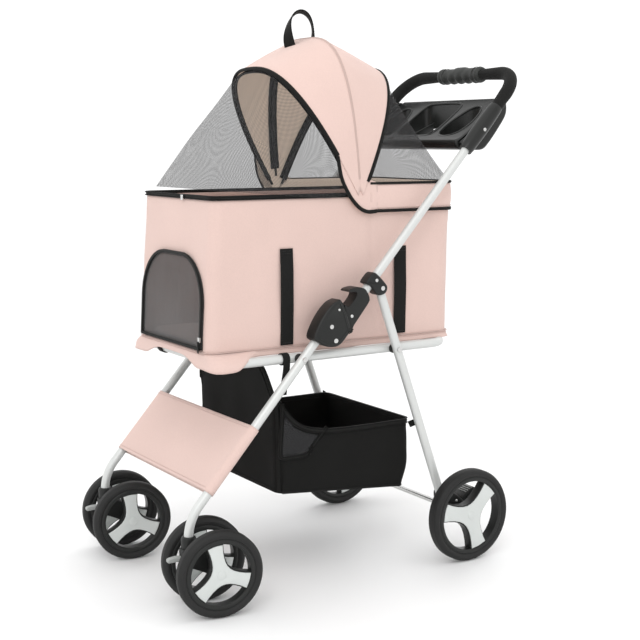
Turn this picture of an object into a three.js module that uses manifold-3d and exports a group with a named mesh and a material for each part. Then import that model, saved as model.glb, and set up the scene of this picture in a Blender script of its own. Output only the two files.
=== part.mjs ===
// Four-wheel folding pet stroller, in millimetres.
// +X is the stroller's left, -Y its front, +Z up. The origin lies on the ground under its middle.
import * as THREE from 'three';
import { mergeVertices } from 'three/addons/utils/BufferGeometryUtils.js';
import Module from 'manifold-3d';

const wasm = await Module();
wasm.setup();

// Driving dimensions
const LEG_X = 177;                       // half spacing of the two side planes
const TUBE_R = 8;
const GAP = 0.3;                         // air between pieces that touch
const TUBE_BORE = TUBE_R + 0.5;          // hole that a tube passes through
const PIN_R = 3;
const PIN_PLAY = 0.15;                   // a pin's clearance in a tube
const LEG_ANGLE = 48.2;                  // front leg above the ground plane
const HANDLE_ANGLE = 47.8;
const FOLD = [-59, 442.4];               // pivots in the side plane, as [y, z]
const REAR_TOP = [46, 528];
const SEAT_PIVOT = [-115.5, 412];
const SEAT_X = 155;                      // half width of the seat loop
const SEAT_Z = 412;
const SEAT_R = 8.5;
const SEAT_FRONT = -258;
const SEAT_REAR = 222;
const SEAT_CORNER_R = 40;
const CASTER_Y = -342.5;                 // swivel axis
const CASTER_TRAIL = 40;
const CASTER_TURN = -9;                  // both casters rest slightly steered
const CASTER_TOP = 112;                  // where the swivelling part meets its socket
const FRONT_WHEEL_R = 75;
const REAR_WHEEL_R = 88.2;
const FRONT_WHEEL_X = 43;                // wheel plane from the swivel axis
const REAR_WHEEL_X = 223;
const FRONT_WHEEL_WIDTH = 26;
const REAR_WHEEL_WIDTH = 28;
const FRONT_AXLE_R = 4.6;
const REAR_AXLE_R = 5;
const REAR_HUB = [224.5, 88.2];
const REAR_LEG_END = [203, 94];
const REAR_LEG_R = 8.5;                  // the rear leg is a slightly flat tube
const CABIN_X = 139;
const CABIN_REAR = 238;
const CABIN_FRONT = -267;                // at the rim
const CABIN_FRONT_FOOT = -281;           // at the floor
const CABIN_Z = 426;
const RIM_Z = 691;
const WALL = 3;
const HOOD_PIVOT = [25, 684];
const HOOD_X = 148;
const BOW_FRONT = 121;                   // bow angles about the hood pivot at rest
const BOW_MIDDLE = 95;
const BOW_REAR = 66;
const HANDLE_LENGTH = 643.4;             // fold pivot to crossbar axis
const HANDLE_CORNER_R = 58;
const FOAM_R = 12.5;
const FOAM_START = 555;
const GRIP_HALF = 64;

// Materials
const finishes = {
  silver: [0xb9bdb9, 0.32, 0.85],
  black_plastic: [0x1f2120, 0.45, 0],
  grey_plastic: [0x8d8f8d, 0.5, 0],
  foam: [0x171716, 0.9, 0],
  tyre: [0x1b1b1a, 0.75, 0],
  rim: [0xd5d7d4, 0.4, 0.1],
  steel: [0x9a9c9b, 0.35, 0.9],
  pink: [0xe4c7bf, 0.85, 0],
  black_fabric: [0x252523, 0.9, 0],
  mesh: [0x4a4a48, 0.9, 0],
};

function finish(name) {
  const [color, roughness, metalness] = finishes[name];
  return new THREE.MeshStandardMaterial({ color, roughness, metalness });
}

const stroller = new THREE.Group();

function part(name, geometry, look, parent = stroller) {
  const mesh = new THREE.Mesh(geometry, finish(look));
  mesh.name = name;
  parent.add(mesh);
  return mesh;
}

// Solids
function toSolid(geometry) {
  const bare = geometry.clone();
  bare.deleteAttribute('normal');
  bare.deleteAttribute('uv');
  const merged = mergeVertices(bare, 1e-4);
  return new wasm.Manifold(new wasm.Mesh({
    numProp: 3,
    vertProperties: new Float32Array(merged.attributes.position.array),
    triVerts: new Uint32Array(merged.index.array),
  }));
}

function toGeometry(solid) {
  const mesh = solid.getMesh();
  const geometry = new THREE.BufferGeometry();
  geometry.setAttribute('position', new THREE.BufferAttribute(mesh.vertProperties, 3));
  geometry.setIndex(new THREE.BufferAttribute(mesh.triVerts, 1));
  return geometry;
}

function cut(base, ...tools) {
  const solid = tools.reduce((left, tool) => left.subtract(toSolid(tool)), toSolid(base));
  return toGeometry(solid);
}

function join(base, ...others) {
  const solid = others.reduce((sum, other) => sum.add(toSolid(other)), toSolid(base));
  return toGeometry(solid);
}

const radians = THREE.MathUtils.degToRad;

// A cylinder along X, with a corner of its outline pointing up.
function rodX(radius, x0, x1, y, z, sides = 12) {
  const geometry = new THREE.CylinderGeometry(radius, radius, x1 - x0, sides);
  geometry.rotateZ(Math.PI / 2);
  geometry.translate((x0 + x1) / 2, y, z);
  return geometry;
}

function rodZ(radius, z0, z1, x = 0, y = 0, sides = 16) {
  const geometry = new THREE.CylinderGeometry(radius, radius, z1 - z0, sides);
  geometry.rotateX(Math.PI / 2);
  geometry.translate(x, y, (z0 + z1) / 2);
  return geometry;
}

// A cylinder between two points of the side plane at x.
function rodBetween(radius, from, to, x, sides = 12, flatten = 1) {
  const length = Math.hypot(to[0] - from[0], to[1] - from[1]);
  const geometry = new THREE.CylinderGeometry(radius, radius, length, sides);
  geometry.scale(flatten, 1, 1);
  geometry.translate(0, length / 2, 0);
  geometry.rotateX(Math.atan2(to[1] - from[1], to[0] - from[0]));
  geometry.translate(x, from[0], from[1]);
  return geometry;
}

// An outline of [y, z] points, extruded along X.
function plateX(outline, x0, x1) {
  const shape = new THREE.Shape(outline.map(([y, z]) => new THREE.Vector2(y, z)));
  const geometry = new THREE.ExtrudeGeometry(shape, { depth: x1 - x0, bevelEnabled: false });
  geometry.applyMatrix4(new THREE.Matrix4().makeBasis(
    new THREE.Vector3(0, 1, 0),
    new THREE.Vector3(0, 0, 1),
    new THREE.Vector3(1, 0, 0),
  ));
  geometry.translate(x0, 0, 0);
  return geometry;
}

function along(start, angle, distance, offset = 0) {
  const a = radians(angle);
  return [
    start[0] + distance * Math.cos(a) - offset * Math.sin(a),
    start[1] + distance * Math.sin(a) + offset * Math.cos(a),
  ];
}

// A path through corner points, each corner rounded, sampled only where it bends.
class BentPath extends THREE.Curve {
  constructor(corners, radius, arcSteps = 6) {
    super();
    this.stations = [corners[0]];
    for (let i = 1; i < corners.length - 1; i += 1) {
      const before = corners[i - 1].clone().sub(corners[i]).normalize();
      const after = corners[i + 1].clone().sub(corners[i]).normalize();
      const half = before.angleTo(after) / 2;
      const reach = radius / Math.tan(half);
      const centre = before.clone().add(after).normalize().multiplyScalar(radius / Math.sin(half));
      centre.add(corners[i]);
      const first = corners[i].clone().addScaledVector(before, reach).sub(centre);
      const last = corners[i].clone().addScaledVector(after, reach).sub(centre);
      const sweep = first.angleTo(last);
      for (let k = 0; k <= arcSteps; k += 1) {
        const t = k / arcSteps;
        const point = first.clone().multiplyScalar(Math.sin((1 - t) * sweep));
        point.addScaledVector(last, Math.sin(t * sweep)).divideScalar(Math.sin(sweep)).add(centre);
        this.stations.push(point);
      }
    }
    this.stations.push(corners[corners.length - 1]);
  }

  get steps() {
    return this.stations.length - 1;
  }

  getPointAt(u) {
    return this.stations[Math.round(u * this.steps)].clone();
  }

  getTangentAt(u) {
    const i = Math.round(u * this.steps);
    const back = this.stations[Math.max(i - 1, 0)];
    const here = this.stations[i];
    const ahead = this.stations[Math.min(i + 1, this.steps)];
    const tangent = here.clone().sub(back).normalize();
    tangent.add(ahead.clone().sub(here).normalize());
    return tangent.normalize();
  }
}

function roundOutline(radius, sides) {
  const points = [];
  for (let i = 0; i < sides; i += 1) {
    const a = (i / sides) * 2 * Math.PI;
    points.push(new THREE.Vector2(radius * Math.cos(a), radius * Math.sin(a)));
  }
  return points;
}

function sweep(path, radius, sides = 12, bore = 0) {
  const shape = new THREE.Shape(roundOutline(radius, sides));
  if (bore > 0) {
    shape.holes.push(new THREE.Path(roundOutline(bore, sides)));
  }
  return new THREE.ExtrudeGeometry(shape, { steps: path.steps, extrudePath: path });
}

// A closed skin over rows of points: every row is a closed loop, and the ends are capped.
function loft(rows) {
  const count = rows[0].length;
  const position = rows.flat().flatMap((p) => [p.x, p.y, p.z]);
  const index = [];
  for (let r = 0; r < rows.length - 1; r += 1) {
    for (let i = 0; i < count; i += 1) {
      const a = r * count + i;
      const b = r * count + ((i + 1) % count);
      index.push(a, b, b + count, a, b + count, a + count);
    }
  }
  const addCap = (row, flip) => {
    const centre = rows[row].reduce((sum, p) => sum.add(p), new THREE.Vector3()).divideScalar(count);
    const hub = position.length / 3;
    position.push(centre.x, centre.y, centre.z);
    for (let i = 0; i < count; i += 1) {
      const a = row * count + i;
      const b = row * count + ((i + 1) % count);
      index.push(...(flip ? [hub, b, a] : [hub, a, b]));
    }
  };
  addCap(0, true);
  addCap(rows.length - 1, false);
  const geometry = new THREE.BufferGeometry();
  geometry.setAttribute('position', new THREE.Float32BufferAttribute(position, 3));
  geometry.setIndex(index);
  return geometry;
}

// A rounded rectangle in plan, counter-clockwise from above, at height z or at z(x, y).
function roundedRing(halfX, front, rear, radius, z, arcSteps = 4) {
  const ring = [];
  const centres = [
    [halfX - radius, rear - radius, 0],
    [-halfX + radius, rear - radius, 90],
    [-halfX + radius, front + radius, 180],
    [halfX - radius, front + radius, 270],
  ];
  for (const [cx, cy, start] of centres) {
    for (let k = 0; k <= arcSteps; k += 1) {
      const a = radians(start + (90 * k) / arcSteps);
      const x = cx + radius * Math.cos(a);
      const y = cy + radius * Math.sin(a);
      ring.push(new THREE.Vector3(x, y, typeof z === 'function' ? z(x, y) : z));
    }
  }
  return ring;
}

// Hood and mesh share one dome: a fan of bows about the hood pivot.
const bowFamily = [                      // angle, height, squareness
  [8, 214, 4.2],
  [66, 262, 2.7],
  [95, 292, 3.2],
  [121, 272, 2.7],
  [176, 291, 6.0],
];

function bowAt(angle) {
  let k = 0;
  while (k < bowFamily.length - 2 && angle > bowFamily[k + 1][0]) {
    k += 1;
  }
  const [a0, h0, n0] = bowFamily[k];
  const [a1, h1, n1] = bowFamily[k + 1];
  const t = (angle - a0) / (a1 - a0);
  return { height: h0 + (h1 - h0) * t, power: n0 + (n1 - n0) * t };
}

function domePoint(angle, u, inset) {
  const { height, power } = bowAt(angle);
  const t = Math.PI * u;
  const x = (HOOD_X - inset) * Math.sign(Math.cos(t)) * Math.abs(Math.cos(t)) ** (2 / power);
  const r = (height - inset) * Math.sin(t) ** (2 / power);
  const a = radians(angle);
  return new THREE.Vector3(x, HOOD_PIVOT[0] + r * Math.cos(a), HOOD_PIVOT[1] + r * Math.sin(a));
}

const DOME_THICK = 2;
const DOME_EDGE = 0.012;                 // how near a panel comes to the hood pivots

function domePanel(from, to, rows, columns) {
  const sections = [];
  for (let r = 0; r <= rows; r += 1) {
    const angle = from + ((to - from) * r) / rows;
    const outer = [];
    const inner = [];
    for (let c = 0; c <= columns; c += 1) {
      const u = DOME_EDGE + ((1 - 2 * DOME_EDGE) * c) / columns;
      outer.push(domePoint(angle, u, 0));
      inner.push(domePoint(angle, u, DOME_THICK));
    }
    sections.push([outer, inner]);
  }
  return strip(sections);
}

// A thin sheet from rows of paired outer and inner points.
function strip(sections) {
  const rings = sections.map(([outer, inner]) => [...outer, ...inner.slice().reverse()]);
  const count = rings[0].length;
  const half = count / 2;
  const position = rings.flat().flatMap((p) => [p.x, p.y, p.z]);
  const index = [];
  for (let r = 0; r < rings.length - 1; r += 1) {
    for (let i = 0; i < count; i += 1) {
      const a = r * count + i;
      const b = r * count + ((i + 1) % count);
      index.push(a, b, b + count, a, b + count, a + count);
    }
  }
  for (let i = 0; i < half - 1; i += 1) {
    const a = i;
    const d = count - 1 - i;
    index.push(a, d, a + 1, a + 1, d, d - 1);
    const top = (rings.length - 1) * count;
    index.push(top + a, top + a + 1, top + d, top + a + 1, top + d - 1, top + d);
  }
  const geometry = new THREE.BufferGeometry();
  geometry.setAttribute('position', new THREE.Float32BufferAttribute(position, 3));
  geometry.setIndex(index);
  return geometry;
}

// Turns a geometry inside out when its volume comes out negative.
function outward(geometry) {
  const p = geometry.attributes.position;
  const index = geometry.index.array;
  let volume = 0;
  const [a, b, c] = [new THREE.Vector3(), new THREE.Vector3(), new THREE.Vector3()];
  for (let i = 0; i < index.length; i += 3) {
    a.fromBufferAttribute(p, index[i]);
    b.fromBufferAttribute(p, index[i + 1]);
    c.fromBufferAttribute(p, index[i + 2]);
    volume += a.dot(b.cross(c));
  }
  if (volume < 0) {
    for (let i = 0; i < index.length; i += 3) {
      [index[i + 1], index[i + 2]] = [index[i + 2], index[i + 1]];
    }
  }
  return geometry;
}

// Seat frame: one bent loop, its ends meeting at the middle of the rear bar
function seatLoop() {
  const corner = (x, y) => new THREE.Vector3(x, y, SEAT_Z);
  const path = new BentPath([
    corner(GAP, SEAT_REAR), corner(SEAT_X, SEAT_REAR), corner(SEAT_X, SEAT_FRONT),
    corner(-SEAT_X, SEAT_FRONT), corner(-SEAT_X, SEAT_REAR), corner(-GAP, SEAT_REAR),
  ], SEAT_CORNER_R, 4);
  const hole = (side) => rodX(PIN_R + GAP, ...span(side, SEAT_X - 12, SEAT_X + 12), ...SEAT_PIVOT);
  return cut(sweep(path, SEAT_R), hole(1), hole(-1));
}

function span(side, x0, x1) {
  return side > 0 ? [x0, x1] : [-x1, -x0];
}

// Pivot pin of the front leg: a rivet with a spacer between leg and seat loop
function legPin(side) {
  const spacer = rodX(7, ...span(side, SEAT_X + SEAT_R + GAP, LEG_X - TUBE_R - GAP), ...SEAT_PIVOT);
  const shank = rodX(PIN_R, ...span(side, SEAT_X - SEAT_R - 2, LEG_X + TUBE_R + 2), ...SEAT_PIVOT);
  const head = rodX(5, ...span(side, LEG_X + TUBE_R + GAP, LEG_X + TUBE_R + 2.3), ...SEAT_PIVOT);
  return join(shank, spacer, head);
}

// Cabin: a fabric tub with an open top and a door opening in the front wall
const DOOR_X = 112;
const DOOR_Z0 = 440;
const DOOR_Z1 = 590;
const DOOR_CORNER = 80;

function doorOutline(grow) {
  const halfX = DOOR_X + grow;
  const top = DOOR_Z1 + grow;
  const radius = DOOR_CORNER + grow;
  const shape = new THREE.Shape();
  shape.moveTo(-halfX, DOOR_Z0 - grow);
  shape.lineTo(halfX, DOOR_Z0 - grow);
  shape.lineTo(halfX, top - radius);
  shape.absarc(halfX - radius, top - radius, radius, 0, Math.PI / 2, false);
  shape.lineTo(-halfX + radius, top);
  shape.absarc(-halfX + radius, top - radius, radius, Math.PI / 2, Math.PI, false);
  shape.closePath();
  return shape;
}

function doorPlate(grow, depth) {
  const settings = { depth, curveSegments: 5, bevelEnabled: false };
  const geometry = new THREE.ExtrudeGeometry(doorOutline(grow), settings);
  geometry.rotateX(Math.PI / 2);
  return geometry;
}

function cabinShell() {
  const outer = [
    roundedRing(CABIN_X, CABIN_FRONT_FOOT, CABIN_REAR, 22, CABIN_Z),
    roundedRing(CABIN_X, CABIN_FRONT, CABIN_REAR, 22, RIM_Z),
  ];
  const inner = [
    roundedRing(CABIN_X - WALL, CABIN_FRONT_FOOT + WALL, CABIN_REAR - WALL, 19, CABIN_Z + WALL),
    roundedRing(CABIN_X - WALL, CABIN_FRONT + WALL, CABIN_REAR - WALL, 19, RIM_Z + 5),
  ];
  const doorway = doorPlate(0, 60);
  doorway.translate(0, CABIN_FRONT_FOOT + 40, 0);
  return cut(loft(outer), loft(inner), doorway);
}

function cabinMat() {
  const foot = CABIN_Z + WALL + GAP;
  const ring = (z, inset) => roundedRing(
    CABIN_X - WALL - 3 - inset, CABIN_FRONT_FOOT + WALL + 5 + inset, CABIN_REAR - WALL - 3 - inset, 18, z);
  return loft([ring(foot, 0), ring(foot + 12, 0), ring(foot + 16, 6)]);
}

function rimFrame() {
  const z = RIM_Z + 4 + GAP;
  const halfX = CABIN_X - 1;
  const corner = (x, y) => new THREE.Vector3(x, y, z);
  const path = new BentPath([
    corner(GAP, CABIN_REAR - 1), corner(halfX, CABIN_REAR - 1), corner(halfX, CABIN_FRONT),
    corner(-halfX, CABIN_FRONT), corner(-halfX, CABIN_REAR - 1), corner(-GAP, CABIN_REAR - 1),
  ], 20, 4);
  return sweep(path, 4, 6);
}

// The mesh door lies on the front wall and swings down about its lower edge
const DOOR_LEAN = Math.atan2(CABIN_FRONT - CABIN_FRONT_FOOT, RIM_Z - CABIN_Z);

function doorFlap() {
  const geometry = doorPlate(5, 2);
  geometry.translate(0, 0, -CABIN_Z);
  geometry.rotateX(-DOOR_LEAN);
  geometry.translate(0, CABIN_FRONT_FOOT - 0.8, CABIN_Z);
  return geometry;
}

// A hood bow: a round wire bent over the dome
const BOW_R = 2.5;
const BOW_INSET = 5;
const SEAM = 2;                          // degrees between a bow and the cloth sewn beside it

function hoodBow(angle, inset) {
  const points = [];
  const steps = 14;
  for (let i = 0; i <= steps; i += 1) {
    points.push(domePoint(angle, DOME_EDGE + ((1 - 2 * DOME_EDGE) * i) / steps, inset));
  }
  const path = new BentPath(points, 0.01, 1);
  path.stations = points;
  return sweep(path, BOW_R, 6);
}

// The hood's lower band wraps the cabin's rear, from the side pivots round the back
const BAND_TOP = 714;

function aboveBand(panel) {
  const room = new THREE.BoxGeometry(400, 400, 60);
  room.translate(0, HOOD_PIVOT[0] + 200, BAND_TOP + GAP - 30);
  return cut(panel, room);
}

function hoodBand() {
  const z0 = 671;
  const z1 = BAND_TOP;
  const front = 46;
  const outline = (halfX, rear, radius) => {
    const points = [new THREE.Vector2(halfX, front)];
    for (let k = 0; k <= 4; k += 1) {
      const a = radians(22.5 * k);
      const x = halfX - radius + radius * Math.cos(a);
      points.push(new THREE.Vector2(x, rear - radius + radius * Math.sin(a)));
    }
    return points;
  };
  const half = outline(HOOD_X, 245.5, 30);
  const halfIn = outline(HOOD_X - 2, 243.5, 28);
  const mirror = (list) => list.map((p) => new THREE.Vector2(-p.x, p.y)).reverse();
  const inside = mirror(halfIn).reverse();
  const shape = new THREE.Shape([...half, ...mirror(half), ...inside, ...halfIn.slice().reverse()]);
  const geometry = new THREE.ExtrudeGeometry(shape, { depth: z1 - z0, bevelEnabled: false });
  geometry.translate(0, 0, z0);
  return geometry;
}

// Webbing carry loop over the hood
function carryLoop() {
  const centre = [-9, 984];
  const outer = [];
  const inner = [];
  for (let i = 0; i <= 10; i += 1) {
    const a = Math.PI * (i / 10);
    outer.push([centre[0] + 29 * Math.cos(a), centre[1] + 44 * Math.sin(a)]);
    inner.push([centre[0] + 26 * Math.cos(a), centre[1] + 41 * Math.sin(a)]);
  }
  return plateX([...outer, ...inner.reverse()], -12, 12);
}

// Storage basket: a fabric tub hung below the seat, with a tall front wall
const BASKET_X = 146;
const BASKET_FRONT = -150;
const BASKET_REAR = 142;

function basketRim(x, y) {
  const side = 266 + 78 * Math.exp(-(y - BASKET_FRONT) / 34);
  const onFront = y < BASKET_FRONT + 1 && Math.abs(x) < BASKET_X - 34;
  return onFront ? 396 : side;
}

function basketFloor(x, y) {
  return 152 - 0.095 * y;
}

function basketRing(inset, z, narrow) {
  const front = BASKET_FRONT + inset - narrow * 0.8;
  const rear = BASKET_REAR - inset - narrow * 1.4;
  return roundedRing(BASKET_X - inset - narrow, front, rear, 16, z, 3);
}

function basket() {
  const wall = 2.5;
  const floorTop = (x, y) => basketFloor(x, y) + wall;
  const outer = [basketRing(0, basketFloor, 8), basketRing(0, basketRim, 0)];
  const over = (x, y) => basketRim(x, y) + 20;
  const inner = [basketRing(wall, floorTop, 8), basketRing(wall, over, 0)];
  return cut(loft(outer), loft(inner));
}

// Front frame
const LEG_TOP = 95;                      // from the seat pivot up to the end inside the housing

function frontLeg(side) {
  const x = side * LEG_X;
  const top = along(SEAT_PIVOT, LEG_ANGLE, LEG_TOP);
  const drop = CASTER_Y - SEAT_PIVOT[0];
  const knee = [CASTER_Y, SEAT_PIVOT[1] + drop * Math.tan(radians(LEG_ANGLE))];
  const path = new BentPath([
    new THREE.Vector3(x, top[0], top[1]),
    new THREE.Vector3(x, knee[0], knee[1]),
    new THREE.Vector3(x, CASTER_Y, 120),
  ], 80, 4);
  const hole = rodX(PIN_R + PIN_PLAY, ...span(side, LEG_X - 12, LEG_X + 12), ...SEAT_PIVOT);
  return cut(sweep(path, TUBE_R), hole);
}

function casterSocket(side) {
  const x = side * LEG_X;
  return cut(
    rodZ(13, CASTER_TOP + GAP, 132, x, CASTER_Y),
    rodZ(TUBE_BORE + GAP, 119.5, 150, x, CASTER_Y, 12),
  );
}

const SLEEVE_TOP = -148;
const SLEEVE_FOOT = -284;

function stadium(halfX, halfY, steps = 5) {
  const points = [];
  for (const [centre, start] of [[halfX - halfY, -90], [halfY - halfX, 90]]) {
    for (let k = 0; k <= steps; k += 1) {
      const a = radians(start + (180 * k) / steps);
      points.push(new THREE.Vector2(centre + halfY * Math.cos(a), halfY * Math.sin(a)));
    }
  }
  return points;
}

function footrestSleeve() {
  const shape = new THREE.Shape(stadium(LEG_X + 10.5, 10.5));
  shape.holes.push(new THREE.Path(stadium(LEG_X + 9, 9)));
  const geometry = new THREE.ExtrudeGeometry(shape, { depth: SLEEVE_TOP - SLEEVE_FOOT, bevelEnabled: false });
  geometry.rotateX(radians(LEG_ANGLE - 90));
  const foot = along(SEAT_PIVOT, LEG_ANGLE, SLEEVE_FOOT);
  geometry.translate(0, foot[0], foot[1]);
  return geometry;
}

function frontCrossTube() {
  const at = along(SEAT_PIVOT, LEG_ANGLE, (SLEEVE_TOP + SLEEVE_FOOT) / 2);
  return rodX(6, -LEG_X + TUBE_R + GAP, LEG_X - TUBE_R - GAP, at[0], at[1]);
}

// Lock housing: a moulded block on the top of the front leg. It carries the fold pivot in a slot.
const HOUSING_IN = 165;
const HOUSING_OUT = 197;
const BRACKET_IN = 165.5;                // inner face of the brackets on the handle tube
const BRACKET_OUT = 190;
const SLOT_IN = LEG_X - TUBE_R - 0.6;
const SLOT_OUT = LEG_X + TUBE_R + 0.6;
const housingOutline = [
  [-102.8, 451.5], [-91.5, 441], [-76.9, 433.6], [-58.3, 431.5], [-44.9, 437.3], [-28.8, 454],
  [-25, 457.5], [-43.4, 509], [-55.5, 512.6], [-71.4, 502.6], [-90.2, 479.5],
];

function lockHousing(side) {
  const block = plateX(housingOutline, ...span(side, HOUSING_IN, HOUSING_OUT));
  const legBore = rodBetween(
    TUBE_BORE, along(SEAT_PIVOT, LEG_ANGLE, -40), along(SEAT_PIVOT, LEG_ANGLE, LEG_TOP + 1), side * LEG_X);
  const slot = plateX([
    along(SEAT_PIVOT, LEG_ANGLE, 0, -12.8), along(SEAT_PIVOT, LEG_ANGLE, 140, -12.8),
    along(SEAT_PIVOT, LEG_ANGLE, 140, -90), along(SEAT_PIVOT, LEG_ANGLE, 0, -90),
  ], ...span(side, SLOT_IN, SLOT_OUT));
  const pin = rodX(PIN_R, ...span(side, HOUSING_IN, HOUSING_OUT + 1.8), ...FOLD);
  return join(cut(block, legBore, slot), pin);
}

// Casters and wheels
const WHEEL_SIDES = 24;

function casterFork() {
  const plate = plateX([
    [-13, CASTER_TOP], [13, CASTER_TOP], [50, 88], [52, 70], [40, 62], [26, 66], [-13, 88],
  ], -12, 12);
  return cut(plate, rodX(5, -20, 20, CASTER_TRAIL, FRONT_WHEEL_R));
}

function casterLever() {
  return plateX([
    [-15.6, 92], [-13.9, 94.4], [-13.9, 95.6], [-15.6, 98], [-36, 97], [-38, 94], [-36, 91],
  ], -5, 5);
}

function tyre(radius, width, bore) {
  const half = width / 2;
  const profile = [
    [bore, -half + 2], [radius - 8, -half], [radius - 1.5, -half + 6], [radius, 0],
    [radius - 1.5, half - 6], [radius - 8, half], [bore, half - 2], [bore, -half + 2],
  ];
  const geometry = new THREE.LatheGeometry(profile.map(([r, h]) => new THREE.Vector2(r, h)), WHEEL_SIDES);
  geometry.rotateZ(Math.PI / 2);
  return geometry;
}

const SPOKES = 3;

// A wheel with three broad spokes, turned about X
function wheelCentre(radius, width, bore, turn) {
  const rimIn = radius - 11;
  const shape = new THREE.Shape(roundOutline(radius, WHEEL_SIDES));
  shape.holes.push(new THREE.Path(roundOutline(bore, 12)));
  for (let s = 0; s < SPOKES; s += 1) {
    const middle = 150 + turn + (360 / SPOKES) * s;
    const opening = [];
    for (const spread of [-46, -23, 0, 23, 46]) {
      opening.push([rimIn - (Math.abs(spread) > 40 ? 3 : 0), middle + spread]);
    }
    opening.push([rimIn * 0.62, middle + 40], [rimIn * 0.34, middle + 22]);
    opening.push([rimIn * 0.34, middle - 22], [rimIn * 0.62, middle - 40]);
    const points = opening.map(([r, a]) => new THREE.Vector2(
      r * Math.cos(radians(a)), r * Math.sin(radians(a))));
    shape.holes.push(new THREE.Path(points));
  }
  const geometry = new THREE.ExtrudeGeometry(shape, { depth: width, bevelEnabled: false });
  geometry.translate(0, 0, -width / 2);
  geometry.applyMatrix4(new THREE.Matrix4().makeBasis(
    new THREE.Vector3(0, 1, 0),
    new THREE.Vector3(0, 0, 1),
    new THREE.Vector3(1, 0, 0),
  ));
  return geometry;
}

const TYRE_BAND = 14;                    // radial thickness of a tyre
const AXLE_PLAY = 0.1;
const REAR_SPOKE_TURN = -43;

function addWheel(name, radius, width, turn, x, y, bore, parent) {
  const wheel = new THREE.Group();
  wheel.position.set(x, y, radius);
  parent.add(wheel);
  part(`${name}_tyre`, tyre(radius, width, radius - TYRE_BAND), 'tyre', wheel);
  const centre = wheelCentre(radius - TYRE_BAND - GAP, width - 6, bore, turn);
  part(`${name}_centre`, centre, 'rim', wheel);
}

function addCaster(side, label) {
  const caster = new THREE.Group();
  caster.position.set(side * LEG_X, CASTER_Y, 0);
  caster.rotation.z = radians(CASTER_TURN);
  stroller.add(caster);
  part(`caster_fork_${label}`, casterFork(), 'black_plastic', caster);
  part(`caster_lock_lever_${label}`, casterLever(), 'grey_plastic', caster);
  part(`front_axle_${label}`, rodX(FRONT_AXLE_R, -52, 52, CASTER_TRAIL, FRONT_WHEEL_R), 'steel', caster);
  for (const [where, sign] of [['outer', side], ['inner', -side]]) {
    const turn = side > 0 ? 12 : 6;
    addWheel(`front_wheel_${label}_${where}`, FRONT_WHEEL_R, FRONT_WHEEL_WIDTH, turn,
      sign * FRONT_WHEEL_X, CASTER_TRAIL, FRONT_AXLE_R + AXLE_PLAY, caster);
  }
}

// Handle frame
function handlePoint(distance, x) {
  const [y, z] = along(FOLD, HANDLE_ANGLE, distance);
  return new THREE.Vector3(x, y, z);
}

function handleTube() {
  const path = new BentPath([
    handlePoint(-3, LEG_X), handlePoint(HANDLE_LENGTH, LEG_X),
    handlePoint(HANDLE_LENGTH, -LEG_X), handlePoint(-3, -LEG_X),
  ], HANDLE_CORNER_R, 5);
  const hole = (side) => rodX(PIN_R + PIN_PLAY, ...span(side, LEG_X - 12, LEG_X + 12), ...FOLD);
  return cut(sweep(path, TUBE_R), hole(1), hole(-1));
}

function foamGrip(side) {
  const path = new BentPath([
    handlePoint(FOAM_START, side * LEG_X),
    handlePoint(HANDLE_LENGTH, side * LEG_X),
    handlePoint(HANDLE_LENGTH, side * (GRIP_HALF + 1)),
  ], HANDLE_CORNER_R, 5);
  return sweep(path, FOAM_R, 12, TUBE_BORE);
}

function centreGrip() {
  const bore = TUBE_BORE;
  const profile = [
    [bore, -GRIP_HALF], [13, -GRIP_HALF], [13.5, -50], [16, -44], [16, 30], [13.5, 38], [13, GRIP_HALF],
    [bore, GRIP_HALF], [bore, -GRIP_HALF],
  ];
  const geometry = new THREE.LatheGeometry(profile.map(([r, h]) => new THREE.Vector2(r, h)), 12);
  geometry.rotateZ(-Math.PI / 2);
  const at = handlePoint(HANDLE_LENGTH, 0);
  geometry.translate(0, at.y, at.z);
  return geometry;
}

// Parent tray: two cup wells and a middle bin between sleeves on the handle tubes
const TRAY_X = 166;
const SLEEVE_R = 13;                     // clamps round the handle tubes
const SLEEVE_FROM = 448;
const SLEEVE_TO = 552;
const TRAY_FLOOR = 772;
const CUP_X = 106;
const CUP_Y = 292;
const CUP_R = 35;

function tray() {
  const body = plateX([
    [231, 790], [237, TRAY_FLOOR], [300, TRAY_FLOOR], [352, 842], [351, 868], [345, 869], [246, 797],
  ], -TRAY_X, TRAY_X);
  const cup = (side) => rodZ(CUP_R, TRAY_FLOOR + 3, 900, side * CUP_X, CUP_Y - 14);
  const bin = loft([
    roundedRing(60, 247, 300, 12, TRAY_FLOOR + 4),
    roundedRing(60, 247, 340, 12, 842),
    roundedRing(60, 247, 340, 12, 900),
  ]);
  const sleeve = (side, radius, from, to) => rodBetween(
    radius, along(FOLD, HANDLE_ANGLE, from), along(FOLD, HANDLE_ANGLE, to), side * LEG_X);
  const clamp = (side) => sleeve(side, SLEEVE_R, SLEEVE_FROM, SLEEVE_TO);
  const solid = join(body, clamp(1), clamp(-1));
  const trimmed = cut(solid, cup(1), cup(-1), bin);
  return cut(trimmed, sleeve(1, TUBE_BORE, 420, 580), sleeve(-1, TUBE_BORE, 420, 580));
}

// Bracket that pins the rear leg to the handle tube
const bracketOutline = [
  [26.4, 556.8], [11.1, 540.6], [20.5, 533.5], [29.7, 522], [36, 516.5], [44.4, 515.5],
  [53.8, 519.4], [57.5, 528], [53, 536.5], [37, 552],
];

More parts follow.
